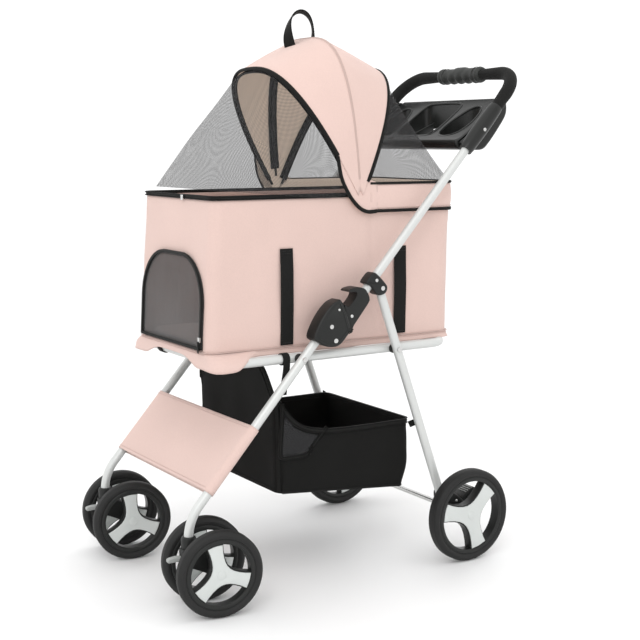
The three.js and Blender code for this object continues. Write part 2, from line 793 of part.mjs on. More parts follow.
function rearBracket(side) {
  const block = plateX(bracketOutline, ...span(side, BRACKET_IN, BRACKET_OUT));
  const bore = rodBetween(
    TUBE_BORE, along(FOLD, HANDLE_ANGLE, 80), along(FOLD, HANDLE_ANGLE, 200), side * LEG_X);
  const slot = plateX([
    along(FOLD, HANDLE_ANGLE, 60, -11), along(FOLD, HANDLE_ANGLE, 220, -11),
    along(FOLD, HANDLE_ANGLE, 220, -90), along(FOLD, HANDLE_ANGLE, 60, -90),
  ], ...span(side, SLOT_IN, SLOT_OUT));
  const pin = rodX(PIN_R, ...span(side, BRACKET_IN, BRACKET_OUT + 1.8), ...REAR_TOP);
  return join(cut(block, bore, slot), pin);
}

// Sliding catch with a finger hook
const catchOutline = [
  [-24.2, 458.4], [-18.1, 466.5], [-2.2, 485.5], [13.8, 505.5], [15, 514], [11.1, 522.4], [4.4, 530.5],
  [-10.2, 533.8], [-24.8, 531.5], [-29.5, 527.6], [-24, 525.5], [-15.6, 526], [-11.5, 520.7],
  [-19.6, 508.5], [-30, 500.5], [-38.4, 502],
];

function catchSlide(side) {
  const block = plateX(catchOutline, ...span(side, BRACKET_IN, 193));
  const bore = rodBetween(
    TUBE_BORE, along(FOLD, HANDLE_ANGLE, -20), along(FOLD, HANDLE_ANGLE, 160), side * LEG_X);
  return cut(block, bore);
}

// Rear frame
function rearLeg(side) {
  const dy = REAR_LEG_END[0] - REAR_TOP[0];
  const dz = REAR_LEG_END[1] - REAR_TOP[1];
  const length = Math.hypot(dy, dz);
  const top = [REAR_TOP[0] - (2 * dy) / length, REAR_TOP[1] - (2 * dz) / length];
  const leg = rodBetween(REAR_LEG_R, REAR_LEG_END, top, side * LEG_X, 12, 0.88);
  return cut(leg, rodX(PIN_R + PIN_PLAY, ...span(side, LEG_X - 12, LEG_X + 12), ...REAR_TOP));
}

const hubOutline = [
  [184, 124], [202, 131], [236, 104], [241, 86], [233, 74], [214, 70], [196, 78],
];

function hubBracket(side) {
  const block = plateX(hubOutline, ...span(side, 165, 203));
  const dy = REAR_LEG_END[0] - REAR_TOP[0];
  const dz = REAR_LEG_END[1] - REAR_TOP[1];
  const beyond = [REAR_LEG_END[0] + dy * 0.002, REAR_LEG_END[1] + dz * 0.002];
  const bore = rodBetween(REAR_LEG_R + GAP, beyond, [REAR_TOP[0], REAR_TOP[1]], side * LEG_X, 12, 0.9);
  return cut(block, bore, rodX(REAR_AXLE_R + GAP, -210, 210, ...REAR_HUB));
}

function brakePedal(side) {
  const outline = [[229, 111], [239, 106], [262, 122], [264, 128], [258, 129], [236, 118]];
  return plateX(outline, ...span(side, 168, 198));
}

// Assembly
part('seat_loop', seatLoop(), 'silver');
part('cabin_shell', cabinShell(), 'pink');
part('cabin_mat', cabinMat(), 'pink');
part('cabin_rim', rimFrame(), 'black_plastic');
part('cabin_door', doorFlap(), 'mesh');
part('hood_bow_front', hoodBow(BOW_FRONT, BOW_INSET), 'black_plastic');
part('hood_bow_middle', hoodBow(BOW_MIDDLE, BOW_INSET), 'black_plastic');
part('hood_bow_rear', hoodBow(BOW_REAR, BOW_INSET), 'black_plastic');
part('hood_front_panel', outward(domePanel(BOW_MIDDLE + SEAM, BOW_FRONT - SEAM, 2, 14)), 'pink');
part('hood_rear_panel', aboveBand(outward(domePanel(BOW_REAR + SEAM, BOW_MIDDLE - SEAM, 2, 14))), 'pink');
part('hood_band', hoodBand(), 'pink');
part('front_mesh', outward(domePanel(BOW_FRONT + SEAM, 175, 4, 14)), 'mesh');
part('rear_mesh', aboveBand(outward(domePanel(12, BOW_REAR - SEAM, 4, 14))), 'mesh');
part('carry_loop', carryLoop(), 'black_fabric');
part('basket', basket(), 'black_fabric');
part('footrest_sleeve', footrestSleeve(), 'pink');
part('front_cross_tube', frontCrossTube(), 'silver');
part('handle_tube', handleTube(), 'silver');
part('centre_grip', centreGrip(), 'black_plastic');
part('parent_tray', tray(), 'black_plastic');
part('rear_axle', rodX(REAR_AXLE_R, -232, 232, ...REAR_HUB), 'steel');

for (const [label, side] of [['left', 1], ['right', -1]]) {
  part(`leg_pin_${label}`, legPin(side), 'steel');
  part(`front_leg_${label}`, frontLeg(side), 'silver');
  part(`caster_socket_${label}`, casterSocket(side), 'black_plastic');
  part(`lock_housing_${label}`, lockHousing(side), 'black_plastic');
  part(`foam_grip_${label}`, foamGrip(side), 'foam');
  part(`rear_bracket_${label}`, rearBracket(side), 'black_plastic');
  part(`fold_catch_${label}`, catchSlide(side), 'black_plastic');
  part(`rear_leg_${label}`, rearLeg(side), 'silver');
  part(`hub_bracket_${label}`, hubBracket(side), 'black_plastic');
  part(`brake_pedal_${label}`, brakePedal(side), 'black_plastic');
  addCaster(side, label);
  addWheel(`rear_wheel_${label}`, REAR_WHEEL_R, REAR_WHEEL_WIDTH, REAR_SPOKE_TURN,
    side * REAR_WHEEL_X, REAR_HUB[0], REAR_AXLE_R + AXLE_PLAY, stroller);
}

export default stroller;
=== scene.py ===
import math

import bmesh
import bpy
import numpy as np
from bpy.props import FloatProperty, FloatVectorProperty, PointerProperty
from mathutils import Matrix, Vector, noise
from mathutils.geometry import tessellate_polygon


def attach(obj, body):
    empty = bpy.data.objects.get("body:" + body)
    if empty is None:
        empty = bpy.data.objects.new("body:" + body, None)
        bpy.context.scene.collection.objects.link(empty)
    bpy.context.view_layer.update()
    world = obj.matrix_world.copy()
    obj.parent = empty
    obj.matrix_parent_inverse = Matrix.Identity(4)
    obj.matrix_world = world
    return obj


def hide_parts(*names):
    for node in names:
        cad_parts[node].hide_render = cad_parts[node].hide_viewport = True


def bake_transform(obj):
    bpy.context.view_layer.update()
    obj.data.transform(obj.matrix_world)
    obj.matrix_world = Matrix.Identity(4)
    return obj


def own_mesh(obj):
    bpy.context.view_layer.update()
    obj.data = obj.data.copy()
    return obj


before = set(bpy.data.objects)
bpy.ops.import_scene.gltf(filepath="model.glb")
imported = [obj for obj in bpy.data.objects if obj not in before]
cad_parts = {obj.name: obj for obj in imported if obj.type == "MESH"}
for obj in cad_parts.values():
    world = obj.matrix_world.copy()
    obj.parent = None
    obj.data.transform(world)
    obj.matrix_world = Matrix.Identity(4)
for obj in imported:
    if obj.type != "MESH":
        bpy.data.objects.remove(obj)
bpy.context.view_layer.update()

bl_info = {
    "name": "Folding pet stroller",
    "version": (1, 0, 0),
    "blender": (4, 5, 0),
    "location": "View3D > Sidebar > Stroller",
    "description": "Builds the fabric, tubes, mouldings and wheels of a folding pet stroller",
    "category": "Add Mesh",
}

MM = 0.001
TURN = 2 * math.pi
SIDES = (("left", 1), ("right", -1))

# Sizes in millimetres, in the frame's own axes: +X the stroller's left, -Y its front, +Z up.
LEG_X = 177
LEG_ANGLE = 48.2
HANDLE_ANGLE = 47.8
FOLD = (-59, 442.4)
REAR_TOP = (46, 528)
SEAT_PIVOT = (-115.5, 412)
SEAT_X, SEAT_Z, SEAT_R, SEAT_FRONT, SEAT_REAR = 155, 412, 8.5, -258, 222
CASTER_Y = -342.5
CASTER_TURN = -9
CASTER_TRAIL = 40
FRONT_WHEEL_R, REAR_WHEEL_R = 75, 88.2
REAR_HUB = (224.5, 88.2)
REAR_LEG_END = (203, 94)
CABIN_X, CABIN_REAR, CABIN_FRONT, CABIN_FOOT = 139, 238, -267, -281
CABIN_Z, RIM_Z = 426, 691
HOOD_PIVOT = (25, 684)
HOOD_X = 148
BOW_FRONT, BOW_MIDDLE, BOW_REAR = 121, 95, 66
BOWS = ((8, 214, 4.2), (66, 262, 2.7), (95, 292, 3.2), (121, 272, 2.7), (176, 291, 6.0))
BAND_FOOT, BAND_TOP, BAND_FRONT, BAND_REAR = 664, 714, 46, 245.5
HANDLE_LENGTH, HANDLE_CORNER = 643.4, 58
GRIP_HALF = 64
BASKET_X, BASKET_FRONT, BASKET_REAR = 146, -150, 142
BASKET_LOW, BASKET_TIP = 266, 78         # the side rim's height, and its rise at the front corner
BASKET_FRONT_RIM = 396
WINDOW_FOOT = 232                        # lowest point of the basket's mesh windows
HOUSING_IN, HOUSING_OUT = 165, 197       # side faces of the lock housing
CLAMP_IN, CLAMP_OUT, CATCH_OUT = 165.5, 190, 193
TRAY_HALF = 163
SLEEVE_TOP, SLEEVE_FOOT = -148, -284     # distances along the front legs
SLEEVE_OUT, SLEEVE_STEPS = 9.8, 160
MAT_VOXEL, MAT_PRESSURE, MAT_FRAMES = 0.007, 4.0, 20

# The studio, in metres and watts
FLOOR_REACH = 9000                       # millimetres
ROOM_LIGHT = 1.14
LAMPS = (("key_light", (2.6, -2.2, 3.0), 1.6, 34), ("fill_light", (-2.4, -2.4, 1.8), 3.0, 6),
         ("rim_light", (-1.2, 2.8, 2.6), 2.2, 12), ("top_light", (0.3, -0.2, 3.6), 3.0, 10))
LAMP_AIM = (0, 0, 0.5)
VIEW_PLACE = (1.99849, -1.24719, 0.79256)
VIEW_AIM = (-0.83323, 0.53398, -0.14350)
SENSOR = 36                              # millimetres


class StrollerSizes(bpy.types.PropertyGroup):
    tube_radius: FloatProperty(name="Tube radius", description="Outer radius of the leg and handle tubes",
                               default=0.008, min=0.004, unit="LENGTH")
    foam_radius: FloatProperty(name="Foam radius", description="Outer radius of the handle's foam",
                               default=0.0125, min=0.01, unit="LENGTH")
    cloth_thickness: FloatProperty(name="Cloth thickness", description="Thickness of the padded fabric",
                                   default=0.0014, min=0.0005, unit="LENGTH")
    piping_radius: FloatProperty(name="Piping radius", description="Radius of the black seam piping",
                                 default=0.002, min=0.0005, unit="LENGTH")
    mat_rise: FloatProperty(name="Mat rise", description="How far the floor mat may swell",
                            default=0.005, min=0.0, unit="LENGTH")
    lens: FloatProperty(name="Lens", description="Focal length of the view", default=70.1, min=10)


def colour_setting(name, description, default):
    return FloatVectorProperty(name=name, description=description, default=default, size=3, subtype="COLOR")


class StrollerColours(bpy.types.PropertyGroup):
    pink: colour_setting("Cabin fabric", "Plain-weave polyester of the cabin and hood",
                         (0.69, 0.515, 0.465))
    # The lining's beige tint is painted light shining through the pink hood cloth, not a colour of the cloth
    # itself.
    lining: colour_setting("Lining", "Inner face of the hood cloth", (0.80, 0.68, 0.57))
    black_cloth: colour_setting("Black fabric", "Basket cloth and tapes", (0.009, 0.009, 0.0085))
    net: colour_setting("Netting", "Threads of the see-through mesh", (0.035, 0.035, 0.036))
    door_net: colour_setting("Door netting", "Threads of the closer door mesh", (0.085, 0.085, 0.085))
    black_plastic: colour_setting("Black plastic", "Moulded joints, tray and casters",
                                  (0.008, 0.0085, 0.008))
    grey_plastic: colour_setting("Grey plastic", "Caster lock levers", (0.33, 0.34, 0.33))
    tube: colour_setting("Tube", "Silver coat on the frame tubes", (0.47, 0.48, 0.465))
    wheel: colour_setting("Wheel face", "Silver inlay of the spokes", (0.60, 0.625, 0.61))
    floor: colour_setting("Floor", "Plain studio floor", (0.90, 0.90, 0.90))


# Materials

class Value:
    """A shader socket in Python arithmetic: each operation on it adds a Math node."""

    def __init__(self, finish, socket):
        self.finish = finish
        self.socket = socket

    def math(self, operation, *values, clamp=False):
        settings = {"operation": operation, "use_clamp": clamp}
        node = self.finish.node("ShaderNodeMath", settings, dict(enumerate(values)))
        return Value(self.finish, node.outputs[0])

    def __add__(self, other):
        return self.math("ADD", self, other)

    __radd__ = __add__

    def __mul__(self, other):
        return self.math("MULTIPLY", self, other)

    __rmul__ = __mul__

    def __sub__(self, other):
        return self.math("SUBTRACT", self, other)

    def __rsub__(self, other):
        return self.math("SUBTRACT", other, self)

    def sine(self):
        return self.math("SINE", self)

    def size(self):
        return self.math("ABSOLUTE", self)

    def clamped(self):
        return self.math("MULTIPLY", self, 1.0, clamp=True)


class Finish:
    """One procedural material on a Principled shader."""

    def __init__(self, name, constants=None):
        self.material = bpy.data.materials.new(name)
        self.material.use_nodes = True
        self.tree = self.material.node_tree
        self.shader = self.tree.nodes["Principled BSDF"]
        for socket, value in (constants or {}).items():
            self.shader.inputs[socket].default_value = value

    def node(self, kind, settings=None, values=None):
        made = self.tree.nodes.new(kind)
        for key, value in (settings or {}).items():
            setattr(made, key, value)
        for key, value in (values or {}).items():
            if isinstance(value, Value):
                self.tree.links.new(value.socket, made.inputs[key])
            else:
                made.inputs[key].default_value = value
        return made

    def feed(self, socket, value):
        self.tree.links.new(value.socket, self.shader.inputs[socket])

    def cloth_way(self):
        """Distance along and across the cloth, in metres."""
        uv = self.node("ShaderNodeUVMap", {"uv_map": "cloth"})
        split = self.node("ShaderNodeSeparateXYZ", None, {"Vector": Value(self, uv.outputs[0])})
        return Value(self, split.outputs[0]), Value(self, split.outputs[1])

    def cloud(self, scale, detail=2.0):
        """Noise about zero, with its patches a metre over scale wide."""
        place = Value(self, self.node("ShaderNodeTexCoord").outputs["Object"])
        made = self.node("ShaderNodeTexNoise", None, {"Vector": place, "Scale": scale, "Detail": detail})
        return Value(self, made.outputs[0]) - 0.5

    def edge(self, strength):
        """1 on the sharp outer edges, 0 elsewhere."""
        geometry = self.node("ShaderNodeNewGeometry")
        return ((Value(self, geometry.outputs["Pointiness"]) - 0.52) * strength).clamped()

    def tint(self, share, low, high):
        settings = {"data_type": "RGBA"}
        made = self.node("ShaderNodeMix", settings, {0: share, 6: (*low, 1), 7: (*high, 1)})
        return Value(self, made.outputs[2])

    def bump(self, height):
        """Height in millimetres."""
        made = self.node("ShaderNodeBump", None, {"Strength": 1.0, "Distance": MM, "Height": height})
        self.feed("Normal", Value(self, made.outputs[0]))


def scaled(colour, share):
    return tuple(min(1.0, c * share) for c in colour)


def woven(name, colour, pitch=0.9, depth=0.05, sheen=0.2, crease=0.7, rough=0.85, glow=0.0):
    # glow sets an emission from the cloth's own colour: a painted glow, so the cloth shines though it is no
    # lamp.
    made = Finish(name, {"Sheen Weight": sheen, "Sheen Roughness": 0.45, "Specular IOR Level": 0.12,
                         "Emission Color": (*colour, 1), "Emission Strength": glow})
    along, across = made.cloth_way()
    turns = TURN / (pitch * MM)
    weave = (along * turns).sine() * (across * turns).sine()
    slub = made.cloud(420, 3)
    patch = made.cloud(7, 2)
    share = (weave * 0.16 + slub * 0.55 + patch * 0.45 + 0.5).clamped()
    made.feed("Base Color", made.tint(share, scaled(colour, 0.88), scaled(colour, 1.08)))
    made.feed("Roughness", slub * 0.15 + rough)
    made.bump(weave * depth + slub * 0.10 + made.cloud(26, 3) * crease)
    return made.material


def netting(name, colour, cover, pitch=3.2):
    made = Finish(name, {"Roughness": 0.8, "Specular IOR Level": 0.12})
    along, across = made.cloth_way()
    turns = TURN / (pitch * MM)
    lattice = (along * turns).sine() * (across * turns).sine()
    patch = made.cloud(9, 2)
    made.feed("Base Color", made.tint((lattice * 0.3 + patch + 0.5).clamped(), colour, scaled(colour, 1.7)))
    made.feed("Alpha", (lattice * 0.5 + patch * 0.10 + cover).clamped())
    made.bump(lattice * 0.12)
    return made.material


def webbing(name, colour):
    made = Finish(name, {"Sheen Weight": 0.04, "Sheen Roughness": 0.5, "Specular IOR Level": 0.12})
    along, across = made.cloth_way()
    rib = (along * (TURN / (1.7 * MM))).sine() * 0.6 + (across * (TURN / (2.4 * MM))).sine() * 0.4
    grain = made.cloud(500, 2)
    made.feed("Base Color", made.tint((rib * 0.3 + grain + 0.5).clamped(), scaled(colour, 0.7),
                                      scaled(colour, 1.9)))
    made.feed("Roughness", grain * 0.2 + 0.78)
    made.bump(rib * 0.18 + grain * 0.08)
    return made.material


def zipper(name, colour):
    made = Finish(name, {"Specular IOR Level": 0.2})
    along = made.cloth_way()[0]
    teeth = (along * (TURN / (2.6 * MM))).sine()
    grain = made.cloud(600, 2)
    made.feed("Base Color", made.tint((teeth * 0.35 + grain * 0.4 + 0.5).clamped(), scaled(colour, 0.7),
                                      scaled(colour, 2.4)))
    made.feed("Roughness", teeth * 0.12 + 0.6)
    made.bump(teeth * 0.30 + grain * 0.06)
    return made.material


def moulded(name, colour, rough=0.42, grain_depth=0.03, lift=2.6):
    made = Finish(name, {"Specular IOR Level": 0.32})
    grain = made.cloud(1500, 2)
    patch = made.cloud(24, 3)
    wear = made.edge(7)
    made.feed("Base Color", made.tint((wear * 0.8 + patch * 0.35 + grain * 0.2 + 0.12).clamped(),
                                      colour, scaled(colour, lift)))
    made.feed("Roughness", patch * 0.16 + grain * 0.12 + wear * 0.1 + rough)
    made.bump(grain * grain_depth * 2 + patch * 0.05)
    return made.material


def coated_metal(name, colour, rough=0.32, metallic=0.85):
    made = Finish(name, {"Metallic": metallic, "Coat Weight": 0.15, "Coat Roughness": 0.3})
    grain = made.cloud(1100, 2)
    patch = made.cloud(13, 3)
    made.feed("Base Color", made.tint((patch * 0.7 + grain * 0.25 + 0.5).clamped(), scaled(colour, 0.86),
                                      scaled(colour, 1.1)))
    made.feed("Roughness", patch * 0.14 + grain * 0.10 + rough)
    made.bump(grain * 0.02 + patch * 0.03)
    return made.material


def sponge(name, colour):
    made = Finish(name, {"Sheen Weight": 0.03, "Specular IOR Level": 0.15})
    pores = made.cloud(900, 4)
    dents = made.cloud(60, 2)
    made.feed("Base Color", made.tint((pores * 1.4 + 0.5).clamped(), scaled(colour, 0.6),
                                      scaled(colour, 2.2)))
    made.feed("Roughness", pores * 0.15 + 0.88)
    made.bump(pores * 0.5 + dents * 0.3)
    return made.material


def rubber(name, colour):
    made = Finish(name, {"Specular IOR Level": 0.28})
    grain = made.cloud(700, 3)
    dust = made.cloud(30, 3)
    made.feed("Base Color", made.tint((dust * 0.7 + grain * 0.5 + 0.4).clamped(), scaled(colour, 0.75),
                                      scaled(colour, 2.1)))
    made.feed("Roughness", dust * 0.2 + grain * 0.1 + 0.62)
    made.bump(grain * 0.12 + dust * 0.05)
    return made.material


def look(name):
    """The finish of that name, made when it is first asked for."""
    found = bpy.data.materials.get(name)
    if found:
        return found
    colours = bpy.context.scene.stroller_colours
    pink, black = tuple(colours.pink), tuple(colours.black_cloth)
    plastic, net = tuple(colours.black_plastic), tuple(colours.net)
    made = {
        "pink_cloth": lambda n: woven(n, pink),
        "hood_cloth": lambda n: woven(n, scaled(pink, 1.03), crease=0.5),
        # The hood's inner face: beige tint and emission are painted light shining through the hood cloth.
        "lining_cloth": lambda n: woven(n, tuple(colours.lining), crease=0.4, glow=0.35),
        "pink_thread": lambda n: woven(n, scaled(pink, 0.80), pitch=0.5, crease=0.0),
        "black_weave": lambda n: woven(n, black, pitch=1.3, depth=0.12, sheen=0.03, crease=0.9),
        "black_thread": lambda n: woven(n, scaled(black, 2.8), pitch=0.5, crease=0.0),
        "black_tape": lambda n: webbing(n, scaled(black, 0.9)),
        "zip_tape": lambda n: zipper(n, scaled(black, 0.9)),
        "hood_net": lambda n: netting(n, net, 0.42),
        "door_net": lambda n: netting(n, tuple(colours.door_net), 0.80, pitch=2.4),
        "basket_net": lambda n: netting(n, scaled(net, 0.9), 0.60),
        "black_moulding": lambda n: moulded(n, plastic),
        "tray_moulding": lambda n: moulded(n, scaled(plastic, 1.2), rough=0.30, grain_depth=0.015),
        "grip_moulding": lambda n: moulded(n, scaled(plastic, 3.2), rough=0.55, grain_depth=0.05),
        "rim_moulding": lambda n: moulded(n, plastic, rough=0.36),
        "grey_moulding": lambda n: moulded(n, tuple(colours.grey_plastic), rough=0.5, lift=1.4),
        "silver_tube": lambda n: coated_metal(n, tuple(colours.tube)),
        "bright_steel": lambda n: coated_metal(n, (0.62, 0.62, 0.61), rough=0.24, metallic=1.0),
        "wheel_silver": lambda n: coated_metal(n, tuple(colours.wheel), rough=0.36, metallic=0.25),
        "grip_foam": lambda n: sponge(n, (0.0095, 0.0095, 0.009)),
        "tyre_rubber": lambda n: rubber(n, (0.013, 0.013, 0.0128)),
        "floor_board": lambda n: woven(n, scaled(black, 1.5), pitch=1.2, crease=0.3),
        "studio_floor": lambda n: moulded(n, tuple(colours.floor), rough=0.55, grain_depth=0.0, lift=1.02),
    }[name](name)
    return made


# Shapes

def unit(v):
    return v / np.linalg.norm(v)


def along(start, angle, distance, offset=0.0):
    a = math.radians(angle)
    return (start[0] + distance * math.cos(a) - offset * math.sin(a),
            start[1] + distance * math.sin(a) + offset * math.cos(a))


def ripple(x, y, z, size):
    """Smooth noise about zero over a distance of about size."""
    return noise.noise(Vector((x / size, y / size, z / size)))


def bent(corners, radius, steps=12, straight=8):
    """A path through corner points in millimetres, each corner rounded."""
    corners = [np.array(c, float) for c in corners]
    stations = [corners[0]]
    for before, here, after in zip(corners, corners[1:], corners[2:]):
        a, b = unit(before - here), unit(after - here)
        half = math.acos(float(np.clip(a @ b, -1, 1))) / 2
        centre = here + unit(a + b) * (radius / math.sin(half))
        first = here + a * (radius / math.tan(half)) - centre
        last = here + b * (radius / math.tan(half)) - centre
        sweep = math.pi - 2 * half
        for k in range(steps + 1):
            t = k / steps
            arc = (first * math.sin((1 - t) * sweep) + last * math.sin(t * sweep)) / math.sin(sweep)
            stations.append(centre + arc)
    stations.append(corners[-1])
    out = [stations[0]]
    for a, b in zip(stations, stations[1:]):
        count = straight if np.linalg.norm(b - a) > 3 * radius else 1
        out.extend(a + (b - a) * k / count for k in range(1, count + 1))
    return np.array(out)


def smoothed(points, per=6, closed=True):
    """A soft curve through the points."""
    p = np.array(points, float)
    n = len(p)
    out = []
    for i in range(n if closed else n - 1):
        pick = [(i + k) % n if closed else min(max(i + k, 0), n - 1) for k in (-1, 0, 1, 2)]
        a, b, c, d = p[pick]
        for k in range(per):
            t = k / per
            out.append(0.5 * ((2 * b) + (c - a) * t + (2 * a - 5 * b + 4 * c - d) * t * t
                              + (3 * b - a - 3 * c + d) * t ** 3))
    if not closed:
        out.append(p[-1])
    return np.array(out)


def inset(outline, distance):
    """A closed outline moved inwards."""
    p = np.asarray(outline, float)
    ahead = np.roll(p, -1, 0) - np.roll(p, 1, 0)
    normal = np.stack([-ahead[:, 1], ahead[:, 0]], 1)
    normal /= np.maximum(np.linalg.norm(normal, axis=1, keepdims=True), 1e-9)
    area = 0.5 * np.sum(p[:, 0] * np.roll(p[:, 1], -1) - p[:, 1] * np.roll(p[:, 0], -1))
    return p + normal * distance * (1 if area > 0 else -1)


def circle(radius, sides=28, flat=1.0):
    a = np.arange(sides) / sides * TURN
    return np.stack([radius * np.cos(a), radius * flat * np.sin(a)], 1)


def band_section(width, thick, corner=0.45):
    """The rounded section of a flat tape."""
    w, t = width / 2, thick / 2
    c = thick * corner
    points = []
    for sx, sy, start in ((1, 1, 0), (-1, 1, 90), (-1, -1, 180), (1, -1, 270)):
        for k in range(4):
            a = math.radians(start + 30 * k)
            points.append((sx * (w - c) + c * math.cos(a), sy * (t - c) + c * math.sin(a)))
    return np.array(points)


def tub_ring(half_x, front, rear, radius, count=220):
    """A rounded rectangle in plan, evenly stepped, from the middle of the rear bar."""
    arc = []
    for cx, cy, start in ((half_x - radius, rear - radius, 90), (half_x - radius, front + radius, 0),
                          (-half_x + radius, front + radius, -90), (-half_x + radius, rear - radius, -180)):
        for k in range(13):
            a = math.radians(start - 7.5 * k)
            arc.append((cx + radius * math.cos(a), cy + radius * math.sin(a)))
    arc = np.array([(0.0, rear)] + arc + [(0.0, rear)])
    run = np.concatenate([[0], np.cumsum(np.linalg.norm(np.diff(arc, axis=0), axis=1))])
    at = np.arange(count) / count * run[-1]
    return np.stack([np.interp(at, run, arc[:, 0]), np.interp(at, run, arc[:, 1])], 1)


def frames_along(path, across, ring):
    """Two directions square to the path at each of its points."""
    ahead = np.roll(path, -1, 0) - path
    back = path - np.roll(path, 1, 0)
    if not ring:
        ahead[-1] = back[-1]
        back[0] = ahead[0]
    tangent = ahead / np.linalg.norm(ahead, axis=1, keepdims=True)
    tangent = tangent + back / np.linalg.norm(back, axis=1, keepdims=True)
    tangent /= np.linalg.norm(tangent, axis=1, keepdims=True)
    across = np.broadcast_to(np.asarray(across, float), path.shape)
    up = across - np.sum(across * tangent, axis=1, keepdims=True) * tangent
    up /= np.maximum(np.linalg.norm(up, axis=1, keepdims=True), 1e-9)
    return np.cross(tangent, up), up


class Piece:
    """The mesh of one piece, put together in millimetres."""

    def __init__(self, name):
        self.name = name
        self.verts = []
        self.faces = []
        self.slots = []
        self.uvs = []
        self.looks = []

    def slot_of(self, name):
        if name not in self.looks:
            self.looks.append(name)
        return self.looks.index(name)

    def skin(self, rows, finish, around=True, ring=False, ends=True, keep=None):
        """A skin over rows of points. around closes each row, ring joins the last row to the first."""
        rows = np.asarray(rows, float)
        n, m = rows.shape[:2]
        base = len(self.verts)
        self.verts.extend(rows.reshape(-1, 3))
        down = np.linalg.norm(np.roll(rows, -1, 0) - rows, axis=2).mean(axis=1) * MM
        wide = np.linalg.norm(np.roll(rows, -1, 1) - rows, axis=2).mean(axis=0) * MM
        u = np.concatenate([[0], np.cumsum(down)])
        v = np.concatenate([[0], np.cumsum(wide)])
        for i in range(n if ring else n - 1):
            for j in range(m if around else m - 1):
                a, b = (i + 1) % n, (j + 1) % m
                corner = [i * m + j, i * m + b, a * m + b, a * m + j]
                middle = rows.reshape(-1, 3)[corner].mean(axis=0)
                if keep and not keep(middle):
                    continue
                chosen = finish(middle) if callable(finish) else finish
                self.faces.append([base + c for c in corner])
                self.slots.append(self.slot_of(chosen))
                self.uvs.append([(u[i], v[j]), (u[i], v[j + 1]), (u[i + 1], v[j + 1]), (u[i + 1], v[j])])
        if around and ends and not ring:
            self.cap([base + k for k in range(m)], finish)
            if ends != "first":
                self.cap([base + (n - 1) * m + k for k in range(m)], finish)

    def cap(self, corners, finish):
        points = np.array([self.verts[c] for c in corners])
        chosen = finish(points.mean(axis=0)) if callable(finish) else finish
        spans = np.argsort(-np.ptp(points, axis=0))[:2]
        self.faces.append(list(corners))
        self.slots.append(self.slot_of(chosen))
        self.uvs.append([(p[spans[0]] * MM, p[spans[1]] * MM) for p in points])

    def sweep(self, path, section, finish, across=(1, 0, 0), ring=False, ends=True, widths=None):
        path = np.asarray(path, float)
        side, up = frames_along(path, across, ring)
        share = np.ones(len(path)) if widths is None else np.asarray(widths, float)
        rows = [p + (s[None, :] * section[:, :1] + u[None, :] * section[:, 1:]) * w
                for p, s, u, w in zip(path, side, up, share)]
        self.skin(rows, finish, ring=ring, ends=ends)

    def tube(self, path, radius, finish, across=(1, 0, 0), flat=1.0, ring=False, sides=28):
        self.sweep(path, circle(radius, sides, flat), finish, across, ring)

    def slab(self, outline, x0, x1, finish, soft=2.0):
        """An outline of [y, z] points extruded along X, with soft edges."""
        low, high = min(x0, x1), max(x0, x1)
        rows = []
        steps = [(low + soft * (1 - math.sin(a)), soft * (1 - math.cos(a)))
                 for a in np.linspace(math.pi / 2, 0, 5)]
        steps += [(high - soft * (1 - math.sin(a)), soft * (1 - math.cos(a)))
                  for a in np.linspace(0, math.pi / 2, 5)]
        for x, deep in steps:
            ring = inset(outline, deep)
            rows.append(np.column_stack([np.full(len(ring), x), ring]))
        self.skin(rows, finish)

    def turned(self, profile, centre, finish, axis=(1, 0, 0), sides=48, ends=True, closed=False):
        """A turned shape: profile holds [radius, distance along the axis] pairs."""
        axis = unit(np.array(axis, float))
        side = unit(np.cross(axis, (0, 0, 1) if abs(axis[2]) < 0.9 else (0, 1, 0)))
        other = np.cross(axis, side)
        a = np.arange(sides) / sides * TURN
        spread = np.cos(a)[:, None] * side + np.sin(a)[:, None] * other
        rows = [np.array(centre, float) + axis * h + spread * r for r, h in profile]
        self.skin(rows, finish, ends=ends and not closed, ring=closed)

    def rivet(self, y, z, x, side, radius=3.4, height=1.8):
        profile = [(radius, -0.6), (radius, 0), (radius * 0.92, height * 0.5), (radius * 0.6, height * 0.88),
                   (radius * 0.2, height)]
        self.turned([(r, side * h) for r, h in profile], (x, y, z), "bright_steel", sides=24)

    def stitches(self, path, out, finish, pitch=4.4, length=2.9, width=0.8):
        """A row of thread dashes along a path, standing on the cloth in direction out."""
        path = np.asarray(path, float)
        out = np.broadcast_to(np.asarray(out, float), path.shape)
        run = np.concatenate([[0], np.cumsum(np.linalg.norm(np.diff(path, axis=0), axis=1))])

        def at(distance):
            return np.array([np.interp(distance, run, path[:, k]) for k in range(3)])

        for start in np.arange(pitch / 2, run[-1] - length, pitch):
            a, b = at(start), at(start + length)
            up = unit(np.array([np.interp(start, run, out[:, k]) for k in range(3)]))
            if np.linalg.norm(b - a) < 1e-6:
                continue
            side = unit(np.cross(b - a, up)) * width / 2
            rise = up * width * 0.5
            rows = [[p - side, p - side * 0.3 + rise, p + side * 0.3 + rise, p + side]
                    for p in (a, (a + b) / 2 + rise * 0.3, b)]
            self.skin(rows, finish, around=True)

    def build(self, body=None, replaces=(), crease=42, place=None):
        """Makes the Blender object, in metres, and lets it ride on its body."""
        verts = np.array(self.verts, float)
        if place is not None:
            verts = place(verts)
        mesh = bpy.data.meshes.new(self.name)
        mesh.from_pydata([tuple(v) for v in verts * MM], [], self.faces)
        for name in self.looks:
            mesh.materials.append(look(name))
        mesh.polygons.foreach_set("material_index", self.slots)
        uv = mesh.uv_layers.new(name="cloth")
        uv.data.foreach_set("uv", [c for face in self.uvs for pair in face for c in pair])
        made = bpy.data.objects.new(self.name, mesh)
        bpy.context.scene.collection.objects.link(made)
        outward(mesh)
        mesh.polygons.foreach_set("use_smooth", [True] * len(mesh.polygons))
        mesh.set_sharp_from_angle(angle=math.radians(crease))
        mesh.update()
        if body:
            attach(made, body)
        if replaces:
            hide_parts(*replaces)
        return made


